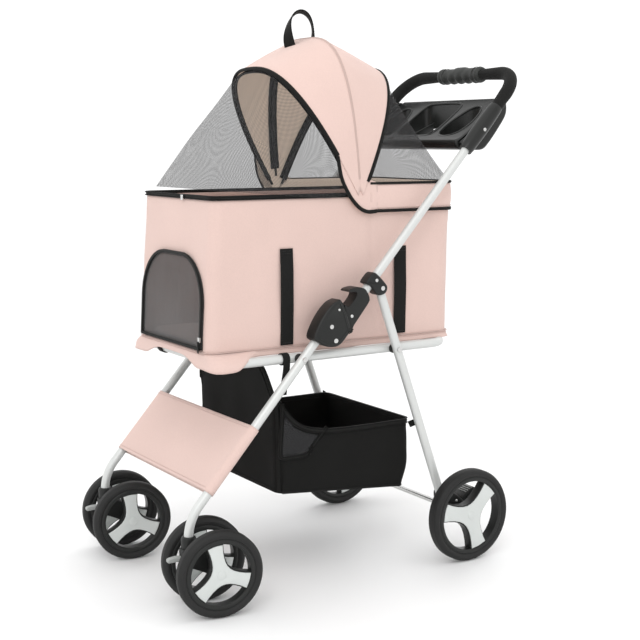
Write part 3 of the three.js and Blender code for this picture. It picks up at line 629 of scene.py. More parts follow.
def outward(mesh):
    work = bmesh.new()
    work.from_mesh(mesh)
    bmesh.ops.recalc_face_normals(work, faces=work.faces)
    work.to_mesh(mesh)
    work.free()


def baked(made):
    """Turns the object's modifiers into its mesh."""
    bpy.context.view_layer.update()
    graph = bpy.context.evaluated_depsgraph_get()
    mesh = bpy.data.meshes.new_from_object(made.evaluated_get(graph), depsgraph=graph)
    old = made.data
    made.modifiers.clear()
    made.data = mesh
    bpy.data.meshes.remove(old)
    return made


def thickened(made, thickness, lining=None, offset=-1.0):
    """Gives a sheet its thickness, with a lining of another finish on the inside."""
    shell = made.modifiers.new("thickness", "SOLIDIFY")
    shell.thickness = thickness
    shell.offset = offset
    if lining:
        made.data.materials.append(look(lining))
        shell.material_offset = len(made.data.materials) - 1
    return baked(made)


def carved(made, *cutters):
    """Cuts other closed shapes out of an object."""
    for cutter in cutters:
        cut = made.modifiers.new("cut", "BOOLEAN")
        cut.object = cutter
        cut.operation = "DIFFERENCE"
        cut.solver = "EXACT"
    baked(made)
    for cutter in cutters:
        bpy.data.objects.remove(cutter)
    made.data.polygons.foreach_set("use_smooth", [True] * len(made.data.polygons))
    made.data.set_sharp_from_angle(angle=math.radians(35))
    return made


def side_path(points, x):
    return np.array([(x, p[0], p[1]) for p in points])


class StrollerOperator(bpy.types.Operator):
    """Shared steps of the stroller's operators."""
    bl_options = {"REGISTER", "UNDO"}

    def execute(self, context):
        self.make(context.scene.stroller_sizes)
        return {"FINISHED"}


class STROLLER_OT_tubes(StrollerOperator):
    """Bends the silver tubes of the seat, front, rear and handle frames"""
    bl_idname = "stroller.tubes"
    bl_label = "Frame tubes"

    def make(self, sizes):
        radius = sizes.tube_radius / MM
        loop = Piece("seat_loop_tube")
        path = bent([(0.3, SEAT_REAR, SEAT_Z), (SEAT_X, SEAT_REAR, SEAT_Z), (SEAT_X, SEAT_FRONT, SEAT_Z),
                     (-SEAT_X, SEAT_FRONT, SEAT_Z), (-SEAT_X, SEAT_REAR, SEAT_Z), (-0.3, SEAT_REAR, SEAT_Z)],
                     40)
        loop.tube(path, SEAT_R, "silver_tube", across=(0, 0, 1))
        loop.turned([(SEAT_R + 0.2, -14), (SEAT_R + 0.9, -13), (SEAT_R + 0.9, 13), (SEAT_R + 0.2, 14)],
                    (0, SEAT_REAR, SEAT_Z), "black_moulding")
        loop.build("seat_frame", ["seat_loop"])

        cross = Piece("front_cross_bar")
        at = along(SEAT_PIVOT, LEG_ANGLE, -216)
        cross.tube(np.linspace((-LEG_X + 8.4, *at), (LEG_X - 8.4, *at), 12), 6, "silver_tube",
                   across=(0, 0, 1))
        cross.build("front_frame", ["front_cross_tube"])

        handle = Piece("handle_tube_bent")
        corners = [(LEG_X, *along(FOLD, HANDLE_ANGLE, -3)),
                   (LEG_X, *along(FOLD, HANDLE_ANGLE, HANDLE_LENGTH)),
                   (-LEG_X, *along(FOLD, HANDLE_ANGLE, HANDLE_LENGTH)),
                   (-LEG_X, *along(FOLD, HANDLE_ANGLE, -3))]
        a = math.radians(HANDLE_ANGLE)
        handle.tube(bent(corners, HANDLE_CORNER, straight=14), radius, "silver_tube",
                    across=(0, -math.sin(a), math.cos(a)))
        handle.build("handle_frame", ["handle_tube"])

        axle = Piece("rear_axle_rod")
        axle.turned([(5, -230), (5, 230)], (0, *REAR_HUB), "bright_steel", sides=28)
        for side in (-1, 1):
            axle.turned([(8.5, side * 203.5), (8.5, side * 208)], (0, *REAR_HUB), "black_moulding", sides=28)
        axle.build("rear_frame", ["rear_axle"])

        for label, side in SIDES:
            leg = Piece(f"front_leg_tube_{label}")
            top = along(SEAT_PIVOT, LEG_ANGLE, 95)
            knee = (CASTER_Y, SEAT_PIVOT[1] + (CASTER_Y - SEAT_PIVOT[0]) * math.tan(math.radians(LEG_ANGLE)))
            path = bent([(side * LEG_X, *top), (side * LEG_X, *knee), (side * LEG_X, CASTER_Y, 120)], 80,
                        straight=16)
            leg.tube(path, radius, "silver_tube")
            leg.build("front_frame", [f"front_leg_{label}"])

            rear = Piece(f"rear_leg_tube_{label}")
            path = np.linspace((side * LEG_X, *REAR_TOP), (side * LEG_X, *REAR_LEG_END), 24)
            rear.tube(path, 7.5, "silver_tube", flat=8.5 / 7.5, across=(0, 1, 0.36))
            rear.turned([(4.8, side * 8), (4.8, side * 9.4), (3.4, side * 10.4), (1, side * 10.8)],
                        (side * LEG_X, 88, 412), "bright_steel", sides=24)
            rear.build("rear_frame", [f"rear_leg_{label}"])

            pin = Piece(f"leg_pin_rivet_{label}")
            low, high = side * (SEAT_X + SEAT_R - 1), side * (LEG_X - 8.2)
            pin.turned([(7.5, low), (8.5, low + side), (8.5, high - side), (7.5, high)], (0, *SEAT_PIVOT),
                       "black_moulding")
            pin.rivet(*SEAT_PIVOT, side * (LEG_X + 8.1), side, radius=4.8, height=2.2)
            pin.build("seat_frame", [f"leg_pin_{label}"])

            spacer = Piece(f"rear_leg_spacer_{label}")
            spacer.turned([(7.5, low), (8.8, low + side), (8.8, high - side), (7.5, high)], (0, 88, 412),
                          "black_moulding")
            spacer.build("seat_frame")


class STROLLER_OT_fold_joints(StrollerOperator):
    """Moulds the lock housings, finger catches and rear brackets with their rivets"""
    bl_idname = "stroller.fold_joints"
    bl_label = "Fold joints"

    def make(self, sizes):
        housing = smoothed([(-102.8, 451.5), (-91.5, 441), (-76.9, 433.6), (-58.3, 431.5), (-44.9, 437.3),
                            (-28.8, 454),
                            (-25, 457.5), (-43.4, 509), (-55.5, 512.6), (-71.4, 502.6), (-90.2, 479.5)], 5)
        catch = smoothed([(-24.2, 458.4), (-18.1, 466.5), (-2.2, 485.5), (13.8, 505.5), (15, 514),
                          (11.1, 522.4),
                          (4.4, 530.5), (-10.2, 533.8), (-24.8, 531.5), (-29.5, 527.6), (-24, 525.5),
                          (-15.6, 526),
                          (-11.5, 520.7), (-19.6, 508.5), (-30, 500.5), (-38.4, 502)], 5)
        bracket = smoothed([(26.4, 556.8), (11.1, 540.6), (20.5, 533.5), (29.7, 522), (36, 516.5),
                            (44.4, 515.5),
                            (53.8, 519.4), (57.5, 528), (53, 536.5), (37, 552)], 5)
        for label, side in SIDES:
            block = Piece(f"lock_housing_moulding_{label}")
            block.slab(housing, side * HOUSING_IN, side * HOUSING_OUT, "black_moulding", soft=4.5)
            made = block.build("front_frame", [f"lock_housing_{label}"])
            carved(made, self.wedge(side, FOLD, 47.8, -92, 11, 130),
                   self.bore(side, SEAT_PIVOT, LEG_ANGLE, -40, 98))
            trim = Piece(f"lock_housing_rivets_{label}")
            for y, z, radius in ((-67.9, 468.1, 4.2), (*FOLD, 4.6), (-52, 497, 2.6)):
                trim.rivet(y, z, side * (HOUSING_OUT - 0.4), side, radius=radius)
            ridge = inset(housing, 7)
            path = [(side * (HOUSING_OUT - 0.1), p[0], p[1]) for p in ridge[4:40]]
            trim.sweep(np.array(path), circle(0.9, 10), "black_moulding", across=(1, 0, 0))
            trim.build("front_frame")

            hook = Piece(f"finger_catch_{label}")
            hook.slab(catch, side * CLAMP_IN, side * CATCH_OUT, "black_moulding", soft=0.95)
            made = hook.build(f"catch_{label}", [f"fold_catch_{label}"])
            carved(made, self.bore(side, FOLD, HANDLE_ANGLE, -20, 160))
            stud = Piece(f"catch_rivet_{label}")
            stud.rivet(-22.8, 483, side * (CATCH_OUT - 0.4), side, radius=3.4)
            stud.build(f"catch_{label}")

            clamp = Piece(f"rear_bracket_moulding_{label}")
            clamp.slab(bracket, side * CLAMP_IN, side * CLAMP_OUT, "black_moulding", soft=3.5)
            made = clamp.build("handle_frame", [f"rear_bracket_{label}"])
            carved(made, self.wedge(side, REAR_TOP, 19, -72, 10.5, 60),
                   self.bore(side, FOLD, HANDLE_ANGLE, 80, 200))
            studs = Piece(f"rear_bracket_rivets_{label}")
            studs.rivet(32.7, 543, side * (CLAMP_OUT - 0.4), side, radius=3.4)
            studs.rivet(*REAR_TOP, side * (CLAMP_OUT - 0.4), side, radius=4.4)
            studs.build("handle_frame")

    def wedge(self, side, pivot, high, low, half, reach):
        """The room that a tube sweeps between two directions from its pivot."""
        outline = [along(pivot, high, 0, half), along(pivot, high, reach, half)]
        outline += [along(pivot, angle, reach) for angle in np.linspace(high, low, 8)[1:-1]]
        outline += [along(pivot, low, reach, -half), along(pivot, low, 0, -half),
                    along(pivot, (high + low) / 2, -half)]
        cutter = Piece("sweep_room")
        rows = [[(x, *p) for p in outline] for x in (side * 168.2, side * 185.8)]
        cutter.skin(rows, "black_moulding")
        return cutter.build()

    def bore(self, side, start, angle, low, high):
        cutter = Piece("tube_bore")
        path = np.linspace((side * LEG_X, *along(start, angle, low)),
                           (side * LEG_X, *along(start, angle, high)), 6)
        cutter.tube(path, 8.3, "black_moulding", sides=32)
        return cutter.build()


class STROLLER_OT_wheels(StrollerOperator):
    """Turns the tyres and the three-spoke wheel centres"""
    bl_idname = "stroller.wheels"
    bl_label = "Wheels"

    def make(self, sizes):
        for label, side in SIDES:
            caster = (side * LEG_X, CASTER_Y, 0)
            for where, sign in (("outer", side), ("inner", -side)):
                name = f"front_wheel_{label}_{where}"
                centre = (side * LEG_X + sign * 43, CASTER_Y + CASTER_TRAIL, FRONT_WHEEL_R)
                self.wheel(name, centre, FRONT_WHEEL_R, 26, 12 if side > 0 else 6, about_caster(caster))
            self.wheel(f"rear_wheel_{label}", (side * 223, *REAR_HUB), REAR_WHEEL_R, 28, -43, None)

    def wheel(self, body, centre, radius, width, turn, place):
        half = width / 2
        inner = radius - 14
        tyre = Piece(f"{body}_rubber")
        profile = [(inner, -half + 3.2), (inner + 2.5, -half + 1.4), (inner + 6, -half + 0.2),
                   (radius - 6.5, -half + 0.4),
                   (radius - 3, -half + 2.4), (radius - 1.2, -half + 5.2), (radius - 0.3, -half + 9)]
        profile += [(r, -h) for r, h in reversed(profile)]
        tyre.turned(profile, centre, "tyre_rubber", sides=96, closed=True)
        for groove in (-half + 7.4, half - 7.4):
            ring = [(radius - 0.75, groove - 1.1), (radius - 0.35, groove - 0.5),
                    (radius - 0.35, groove + 0.5), (radius - 0.75, groove + 1.1)]
            tyre.turned(ring, centre, "tyre_rubber", sides=96, closed=True)
        tyre.build(body, [f"{body}_tyre"], place=place)

        outer = inner - 0.3
        lip = outer - 8.5
        hub = Piece(f"{body}_spokes")
        deep = half - 3
        hub.turned([(outer, -deep), (outer, deep), (outer - 2, deep + 1.2), (lip + 3, deep + 0.8),
                    (lip + 0.6, deep - 1),
                    (lip + 0.2, 0), (lip + 0.6, -deep + 1), (lip + 3, -deep - 0.8),
                    (outer - 2, -deep - 1.2)],
                   centre, "rim_moulding", sides=96, closed=True)
        black = self.star(centre, lip + 1.5, turn, 1.0)
        hub.slab(black, centre[0] - deep + 2, centre[0] + deep - 2, "rim_moulding", soft=1.0)
        silver = self.star(centre, lip + 0.2, turn, -0.8)
        for sign in (1, -1):
            hub.slab(silver, centre[0] + sign * (deep - 2.4), centre[0] + sign * (deep + 0.4),
                     "wheel_silver", soft=1.3)
            hub.turned([(0.5, sign * (deep + 1.5)), (5, sign * (deep + 1.4)), (7.6, sign * (deep + 0.9)),
                        (8.2, sign * deep)],
                       centre, "wheel_silver", sides=40, ends=True)
        hub.build(body, [f"{body}_centre"], place=place)

    def star(self, centre, rim, turn, spread):
        """The outline of the three flared spokes, spread outwards by so many millimetres."""
        points = []
        for s in range(3):
            middle = 150 + turn + 120 * s
            side_one = [(rim, middle - 44.5), (rim * 0.80, middle - 43), (rim * 0.60, middle - 38.5),
                        (rim * 0.44, middle - 28),
                        (rim * 0.36, middle - 11), (rim * 0.36, middle + 11), (rim * 0.44, middle + 28),
                        (rim * 0.60, middle + 38.5), (rim * 0.80, middle + 43), (rim, middle + 44.5)]
            points += side_one
            points += [(rim, middle + a) for a in (50, 55, 60, 65, 70)]
        outline = np.array([(centre[1] + r * math.cos(math.radians(a)), centre[2] + r
                             * math.sin(math.radians(a)))
                            for r, a in points])
        return inset(outline, -spread)


def about_caster(axis):
    """Steers points about a caster's swivel axis by its resting angle."""
    a = math.radians(CASTER_TURN)

    def place(verts):
        moved = verts.copy()
        x, y = verts[:, 0] - axis[0], verts[:, 1] - axis[1]
        moved[:, 0] = axis[0] + x * math.cos(a) - y * math.sin(a)
        moved[:, 1] = axis[1] + x * math.sin(a) + y * math.cos(a)
        return moved
    return place


class STROLLER_OT_casters(StrollerOperator):
    """Moulds the casters, their lock levers, the rear hub brackets and the brake pedals"""
    bl_idname = "stroller.casters"
    bl_label = "Casters and brakes"

    def make(self, sizes):
        fork = smoothed([(-13, 111), (0, 112), (13, 111), (30, 103), (50, 88), (53, 74), (48, 64), (38, 61),
                         (26, 67),
                         (6, 76), (-13, 84), (-14, 98)], 5)
        lever = smoothed([(-13, 91), (-13, 98.5), (-24, 99.5), (-36, 97.5), (-38.5, 94), (-36, 90.5),
                          (-24, 91)], 5)
        hub = smoothed([(184, 124), (202, 131), (236, 104), (241, 86), (233, 74), (214, 70), (196, 78)], 6)
        pedal = smoothed([(229, 111), (239, 106), (262, 122), (265, 126), (258, 129), (236, 118)], 5)
        for label, side in SIDES:
            axis = (side * LEG_X, CASTER_Y, 0)
            place = about_caster(axis)

            def local(outline):
                return np.array([(CASTER_Y + y, z) for y, z in outline])

            socket = Piece(f"caster_socket_cup_{label}")
            socket.turned([(8.6, 112.6), (12.4, 112.4), (13, 114), (13, 128), (11.8, 131.2), (8.9, 132.4),
                           (8.6, 131)],
                          axis, "black_moulding", axis=(0, 0, 1), closed=True)
            socket.build("front_frame", [f"caster_socket_{label}"])

            body = Piece(f"caster_fork_moulding_{label}")
            body.slab(local(fork), axis[0] - 11.8, axis[0] + 11.8, "black_moulding", soft=3.8)
            body.turned([(3, 111.5), (13.6, 111.9), (14.4, 110), (14.2, 98), (12, 90)], axis,
                        "black_moulding", axis=(0, 0, 1))
            body.build(f"caster_{label}", [f"caster_fork_{label}"], place=place)

            tab = Piece(f"caster_lever_tab_{label}")
            tab.slab(local(lever), axis[0] - 5.4, axis[0] + 5.4, "grey_moulding", soft=2.0)
            for k in range(4):
                at = (axis[0], CASTER_Y - 24 - 3.2 * k, 98.9 - 0.5 * k)
                tab.turned([(0.8, -4), (0.8, 4)], at, "grey_moulding", sides=12)
            tab.build(f"caster_lever_{label}", [f"caster_lock_lever_{label}"], place=place)

            axle = Piece(f"front_axle_rod_{label}")
            centre = (axis[0], CASTER_Y + CASTER_TRAIL, FRONT_WHEEL_R)
            axle.turned([(4.6, -50), (4.6, 50)], centre, "bright_steel", sides=24)
            for sign in (1, -1):
                axle.turned([(7.4, sign * 12.4), (7.4, sign * 29.4)], centre, "black_moulding", sides=32)
            axle.build(f"caster_{label}", [f"front_axle_{label}"], place=place)

            plate = Piece(f"hub_bracket_moulding_{label}")
            plate.slab(hub, side * 165, side * 203, "black_moulding", soft=4.5)
            plate.rivet(212, 112, side * 202.6, side, radius=3)
            plate.build("rear_frame", [f"hub_bracket_{label}"])

            brake = Piece(f"brake_pedal_pad_{label}")
            brake.slab(pedal, side * 168, side * 198, "black_moulding", soft=2.2)
            for k in range(4):
                at = (side * 183, 243 + 4.5 * k, 122.4 + 2.2 * k)
                brake.turned([(0.9, -11), (0.9, 11)], at, "grey_moulding", sides=12)
            brake.build(f"brake_{label}", [f"brake_pedal_{label}"])


class STROLLER_OT_handle(StrollerOperator):
    """Makes the foam grips, the centre grip and the parent tray"""
    bl_idname = "stroller.handle"
    bl_label = "Handle and tray"

    def make(self, sizes):
        foam_r = sizes.foam_radius / MM
        a = math.radians(HANDLE_ANGLE)
        up = (0, -math.sin(a), math.cos(a))
        top = along(FOLD, HANDLE_ANGLE, HANDLE_LENGTH)
        for label, side in SIDES:
            foam = Piece(f"foam_sleeve_{label}")
            path = bent([(side * LEG_X, *along(FOLD, HANDLE_ANGLE, 555)), (side * LEG_X, *top),
                         (side * (GRIP_HALF + 1), *top)], HANDLE_CORNER, steps=20, straight=10)
            run = np.linspace(0, 1, len(path))
            widths = 1 - 0.16 * np.exp(-run * 90) - 0.16 * np.exp(-(1 - run) * 90)
            foam.sweep(path, circle(foam_r, 36), "grip_foam", across=up, widths=widths)
            foam.build("handle_frame", [f"foam_grip_{label}"])
        grip = Piece("centre_grip_moulding")
        rows = []
        for x in np.linspace(-GRIP_HALF, GRIP_HALF, 129):
            end = abs(x) / GRIP_HALF
            base = 14.6 + 1.4 * math.exp(-((abs(x) - 57)
                                           / 4) ** 2) - 2.0 * math.exp(-((abs(x) - GRIP_HALF) / 1.2) ** 2)
            ring = []
            for k in range(40):
                t = TURN * k / 40
                finger = max(0.0, -math.sin(t + 0.5)) * 2.1 * math.cos(x / 23
                                                                       * TURN) * (1 if end < 0.8 else 0)
                thumb = max(0.0, math.sin(t)) * 2.4 * math.exp(-(x / 17) ** 6)
                r = base + finger + thumb
                ring.append((x, top[0] + r * math.cos(t), top[1] + r * math.sin(t)))
            rows.append(ring)
        grip.skin(rows, "grip_moulding")
        for x in (-47, 47):
            grip.turned([(15.2, x - 1.2), (16.1, x - 0.6), (16.1, x + 0.6), (15.2, x + 1.2)], (0, *top),
                        "black_moulding", ends=False)
        grip.build("handle_frame", ["centre_grip"])
        self.tray()

    def rim_height(self, y):
        """The tray's rim lies in a plane that rises to the rear."""
        return 797 + (y - 246) * 0.727

    def hollow(self, outline, floor, taper, finish="tray_moulding"):
        """What is scooped out of the tray: a well that narrows to a rounded floor."""
        cutter = Piece("well_room")
        rows = []
        for deep, z in ((taper + 4, floor), (taper + 1, floor + 1), (taper, floor + 4),
                        (taper * 0.4, floor + 30)):
            rows.append([(*p, z) for p in inset(outline, deep)])
        rows.append([(*p, 860) for p in outline])
        rows.append([(*p, 900) for p in outline])
        cutter.skin(rows, finish)
        return cutter.build()

    def rolled_rim(self, tray, outline):
        """A smooth bead round a well's mouth."""
        line = [(*p, self.rim_height(p[1]) - 0.6) for p in outline]
        tray.sweep(np.array(line), circle(2.4, 14), "tray_moulding", across=(0, -0.588, 0.809), ring=True)

    def tray(self):
        body = Piece("parent_tray_shell")
        profile = smoothed([(229, 791), (233, 780), (243, 773.5), (270, 773), (296, 773.5), (312, 786),
                            (334, 812), (351, 836),
                            (354, 854), (349, 869), (340, 865.5), (300, 836.5), (262, 808.8), (243, 797)], 4)
        body.slab(profile, -TRAY_HALF, TRAY_HALF, "tray_moulding", soft=6)
        made = body.build("handle_frame", ["parent_tray"])
        wells = {side: smoothed([(side * 74, 262), (side * 76, 288), (side * 92, 318), (side * 118, 326),
                                 (side * 136, 308),
                                 (side * 142, 280), (side * 132, 258), (side * 108, 248), (side * 86, 250)],
                                 6) for side in (1, -1)}
        middle = smoothed([(-60, 264), (-60, 316), (-50, 334), (-20, 338), (20, 338), (50, 334), (60, 316),
                           (60, 264),
                           (50, 251), (20, 248), (-20, 248), (-50, 251)], 5)
        notch = []
        for side in (1, -1):
            cutter = Piece("underside_step")
            foot = [(side * 40, 296), (side * 66, 296), (side * 66, 380), (side * 40, 380)]
            cutter.skin([[(*p, 740) for p in foot], [(*p, 792) for p in foot]], "tray_moulding")
            notch.append(cutter.build())
        carved(made, self.hollow(wells[1], 778, 4), self.hollow(wells[-1], 778, 4),
               self.hollow(middle, 779, 5), *notch)

        trim = Piece("parent_tray_trim")
        for side in (1, -1):
            self.rolled_rim(trim, wells[side])
            sleeve = [along(FOLD, HANDLE_ANGLE, d) for d in np.linspace(446, 554, 16)]
            widths = [12.4 if k in (0, 15) else 13.2 + 1.6 * math.sin(k / 15 * math.pi) for k in range(16)]
            trim.sweep(side_path(sleeve, side * LEG_X), circle(1.0, 36), "tray_moulding", widths=widths)
            trim.rivet(*along(FOLD, HANDLE_ANGLE, 497), side * (LEG_X + 14.4), side, radius=3.6, height=1.2)
            gusset = smoothed([(236, 786), (262, 782), (300, 812), (346, 862), (330, 866), (296, 838),
                               (262, 806)], 4)
            trim.slab(gusset, side * 160, side * 172, "tray_moulding", soft=3)
        self.rolled_rim(trim, middle)
        for x in (-22, 22):
            trim.slab(np.array([(252, 781), (314, 781), (322, 826), (262, 800)]), x - 1.2, x + 1.2,
                      "tray_moulding", soft=0.5)
        trim.build("handle_frame")


def cabin_front(z):
    return CABIN_FOOT + (CABIN_FRONT - CABIN_FOOT) * (z - CABIN_Z) / (RIM_Z - CABIN_Z)


DOOR_X, DOOR_FOOT, DOOR_TOP, DOOR_CORNER = 112, 440, 590, 80


def door_distance(x, z, grow=0.0):
    """How far a point of the front wall lies outside the door's arch."""
    half, top, radius = DOOR_X + grow, DOOR_TOP + grow, DOOR_CORNER + grow
    dx, dz = abs(x) - (half - radius), z - (top - radius)
    if dx > 0 and dz > 0:
        return math.hypot(dx, dz) - radius
    return max(abs(x) - half, z - top, (DOOR_FOOT - grow) - z)


def door_arch(grow, steps=14):
    """The arch from its lower left corner over the top to its lower right corner, as (x, z)."""
    half, top, radius = DOOR_X + grow, DOOR_TOP + grow, DOOR_CORNER + grow
    points = [(half, z) for z in np.linspace(DOOR_FOOT - grow, top - radius, 8)[:-1]]
    points += [(half - radius + radius * math.cos(a), top - radius + radius * math.sin(a))
               for a in np.linspace(0, math.pi / 2, steps)]
    left = [(-x, z) for x, z in reversed(points)]
    return points + left


class STROLLER_OT_cabin(StrollerOperator):
    """Sews the cabin's fabric walls, rim zip, skirt, side straps and floor mat"""
    bl_idname = "stroller.cabin"
    bl_label = "Cabin"

    def make(self, sizes):
        rows = []
        for z in np.linspace(CABIN_Z, RIM_Z + 1, 44):
            ring = tub_ring(CABIN_X, cabin_front(z), CABIN_REAR, 20, 240)
            held = min(1.0, (z - CABIN_Z) / 30, (RIM_Z + 1 - z) / 25)
            row = []
            for x, y in ring:
                puff = 1.3 * held + held * (2.4 * ripple(x, y, z, 95) + 1.3 * ripple(x, y, z * 0.35, 38))
                crease = held * 2.2 * math.exp(-((y - 62 + 0.12 * (z - 560)) / 5.5) ** 2) * (1 if x > 0
                                                                                             else 0.4)
                nx = x / CABIN_X if abs(x) > CABIN_X - 12 else 0
                ny = (1 if y > 0 else -1) if abs(x) < CABIN_X - 6 else 0
                px, py, pz = x + nx * (puff - crease), y + ny * puff * 0.6, z
                far = door_distance(px, pz)
                if y < 0 and ny and abs(far) < 5:
                    step = 0.5
                    gx = (door_distance(px + step, pz) - door_distance(px - step, pz)) / (2 * step)
                    gz = (door_distance(px, pz + step) - door_distance(px, pz - step)) / (2 * step)
                    px, pz = px - far * gx, pz - far * gz
                row.append((px, py, pz))
            rows.append(row)
        walls = Piece("cabin_walls")
        walls.skin(rows, "pink_cloth", ends=False,
                   keep=lambda p: not (p[1] < CABIN_FRONT + 8 and door_distance(p[0], p[2]) < -0.4))
        made = walls.build("seat_frame", ["cabin_shell"], crease=60)
        thickened(made, sizes.cloth_thickness)

        board = Piece("cabin_floor_cloth")
        ring = tub_ring(CABIN_X - 1, CABIN_FOOT + 1, CABIN_REAR - 1, 19, 120)
        board.skin([[(*p, 426) for p in ring], [(*p, 428.5) for p in ring]], "floor_board")
        board.build("seat_frame")

        self.rim()
        self.skirt()
        for label, side in SIDES:
            self.strap(f"cabin_strap_front_{label}", side, -127, 26, 434, 604)
            self.strap(f"cabin_strap_rear_{label}", side, 118, 27, 435, 598)
        self.mat(sizes)

    def rim(self):
        rim = Piece("cabin_rim_zip")
        ring = tub_ring(CABIN_X + 0.6, CABIN_FRONT - 0.6, CABIN_REAR + 0.6, 20, 240)
        path = np.array([(x, y, RIM_Z + 3.2) for x, y in ring])
        rim.sweep(path, band_section(3.4, 8.0), "zip_tape", across=(0, 0, 1), ring=True)
        out = np.array([(x / CABIN_X, y / 240, 0) for x, y in ring])
        rim.sweep(path + out * 2.1 + (0, 0, 2.6), circle(1.0, 8), "black_tape", across=(0, 0, 1), ring=True)
        rim.sweep(path + out * 2.1 - (0, 0, 3.0), circle(0.9, 8), "black_tape", across=(0, 0, 1), ring=True)
        rim.slab(np.array([(CABIN_FRONT - 6, 688), (CABIN_FRONT - 3, 688), (CABIN_FRONT - 3, 697),
                           (CABIN_FRONT - 6, 697)]),
                 26, 34, "bright_steel", soft=0.8)
        rim.build("seat_frame", ["cabin_rim"])

    def skirt(self):
        skirt = Piece("cabin_skirt")
        ring = tub_ring(CABIN_X + 1.4, CABIN_FOOT - 1.2, CABIN_REAR + 1.2, 20, 240)
        rows = []
        for t in np.linspace(0, 1, 7):
            row = []
            for x, y in ring:
                front = math.exp(-((y + 262) / 40) ** 4) * (1 if abs(x) > 90
                                                            else math.exp(-((abs(x) - 90) / 28) ** 2))
                drop = 11 + 19 * front + 1.2 * ripple(x, y, 0, 40)
                flare = 2.0 * t + 1.2 * t * t + 1.0 * t * ripple(x, y, 9, 24)
                wrap = 26.5 * math.sin(min(1.0, t * 1.5) * math.pi / 2) * math.exp(-((y + 256) / 52) ** 4)
                row.append((x + (flare + wrap) * x / CABIN_X,
                            y + flare * (1 if y > 230 else -1 if y < -270 else 0), 430 - drop * t))
            rows.append(row)
        skirt.skin(rows, "pink_cloth", ends=False)
        made = skirt.build("seat_frame")
        thickened(made, 1.2 * MM)
        seam = Piece("cabin_skirt_stitching")
        ring = tub_ring(CABIN_X + 2.6, CABIN_FOOT - 2.2, CABIN_REAR + 2.2, 20, 240)
        hem = np.array([(x + 0.2 * x / CABIN_X, y, 427.2) for x, y in ring])
        out = np.array([(x / CABIN_X if abs(x) > 120 else 0.01, (y / 260) if abs(x) < 136 else 0, 0)
                        for x, y, _ in hem])
        seam.stitches(hem, out, "pink_thread")
        seam.sweep(hem + (0, 0, 3.6), circle(0.9, 8), "pink_thread", across=(0, 0, 1), ring=True)
        seam.build("seat_frame")

    def strap(self, name, side, y, width, z0, z1):
        strap = Piece(name)
        heights = np.linspace(z0, z1, 20)
        path = [(side * (CABIN_X + 3.4 + 1.8 * math.sin((z - z0) / (z1 - z0) * math.pi) + 0.8
                         * ripple(y, z, side, 45)), y, z)
                for z in heights]
        strap.sweep(path, band_section(width, 1.6), "black_tape", across=(1, 0, 0))
        for dy in (-width / 2 + 2.2, width / 2 - 2.2):
            line = np.array([(p[0] + side * 0.9, y + dy, p[2]) for p in path])
            strap.stitches(line, (side, 0, 0), "black_thread")
        for z in (z0 + 4, z1 - 4, z1 - 9):
            line = np.linspace((side * (CABIN_X + 4.6), y - width / 2 + 2, z),
                               (side * (CABIN_X + 4.6), y + width / 2 - 2, z), 5)
            strap.stitches(line, (side, 0, 0), "black_thread")
        strap.build("seat_frame")

    def mat(self, sizes):
        mat = Piece("cabin_mat_pad")
        rows = []
        outline = tub_ring(CABIN_X - 8, CABIN_FOOT + 10, CABIN_REAR - 8, 20, 120)
        for z, deep in ((430.2, 6), (429.8, 2), (432, 0), (440, 0), (443.5, 3), (444, 8)):
            rows.append([(*p, z) for p in inset(outline, deep)])
        mat.skin(rows, "hood_cloth")
        made = mat.build("seat_frame", ["cabin_mat"])
        puffed(made, MAT_VOXEL, MAT_PRESSURE, sizes.mat_rise)
        quilt = Piece("cabin_mat_quilting")
        for y in (-190, -100, -10, 80, 170):
            line = np.linspace((-118, y, 446.2), (118, y, 446.2), 30)
            quilt.stitches(line, (0, 0, 1), "pink_thread", pitch=5.5, length=3.6)
        quilt.build("seat_frame")


def puffed(made, voxel, pressure, most):
    """Swells a pad with Cloth pressure, no point moving further than most."""
    scene = bpy.context.scene
    remesh = made.modifiers.new("even", "REMESH")
    remesh.mode = "VOXEL"
    remesh.voxel_size = voxel
    baked(made)
    rest = np.array([v.co for v in made.data.vertices])
    cloth = made.modifiers.new("swell", "CLOTH")
    cloth.settings.use_pressure = True
    cloth.settings.uniform_pressure_force = pressure
    cloth.settings.effector_weights.gravity = 0
    cloth.point_cache.frame_start, cloth.point_cache.frame_end = 1, MAT_FRAMES
    for step in range(1, MAT_FRAMES + 1):
        scene.frame_set(step)
    baked(made)
    scene.frame_set(1)
    moved = np.array([v.co for v in made.data.vertices]) - rest
    far = np.linalg.norm(moved, axis=1, keepdims=True)
    share = np.minimum(1.0, most / np.maximum(far, 1e-9))
    made.data.vertices.foreach_set("co", (rest + moved * share).astype(np.float32).ravel())
    smooth = made.modifiers.new("smooth", "SUBSURF")
    smooth.levels = smooth.render_levels = 1
    baked(made)
    if not made.data.uv_layers.get("cloth"):
        layer = made.data.uv_layers.new(name="cloth")
        loops = np.array([made.data.vertices[loop.vertex_index].co[:2] for loop in made.data.loops],
                         np.float32)
        layer.data.foreach_set("uv", loops.ravel())
    made.data.polygons.foreach_set("use_smooth", [True] * len(made.data.polygons))


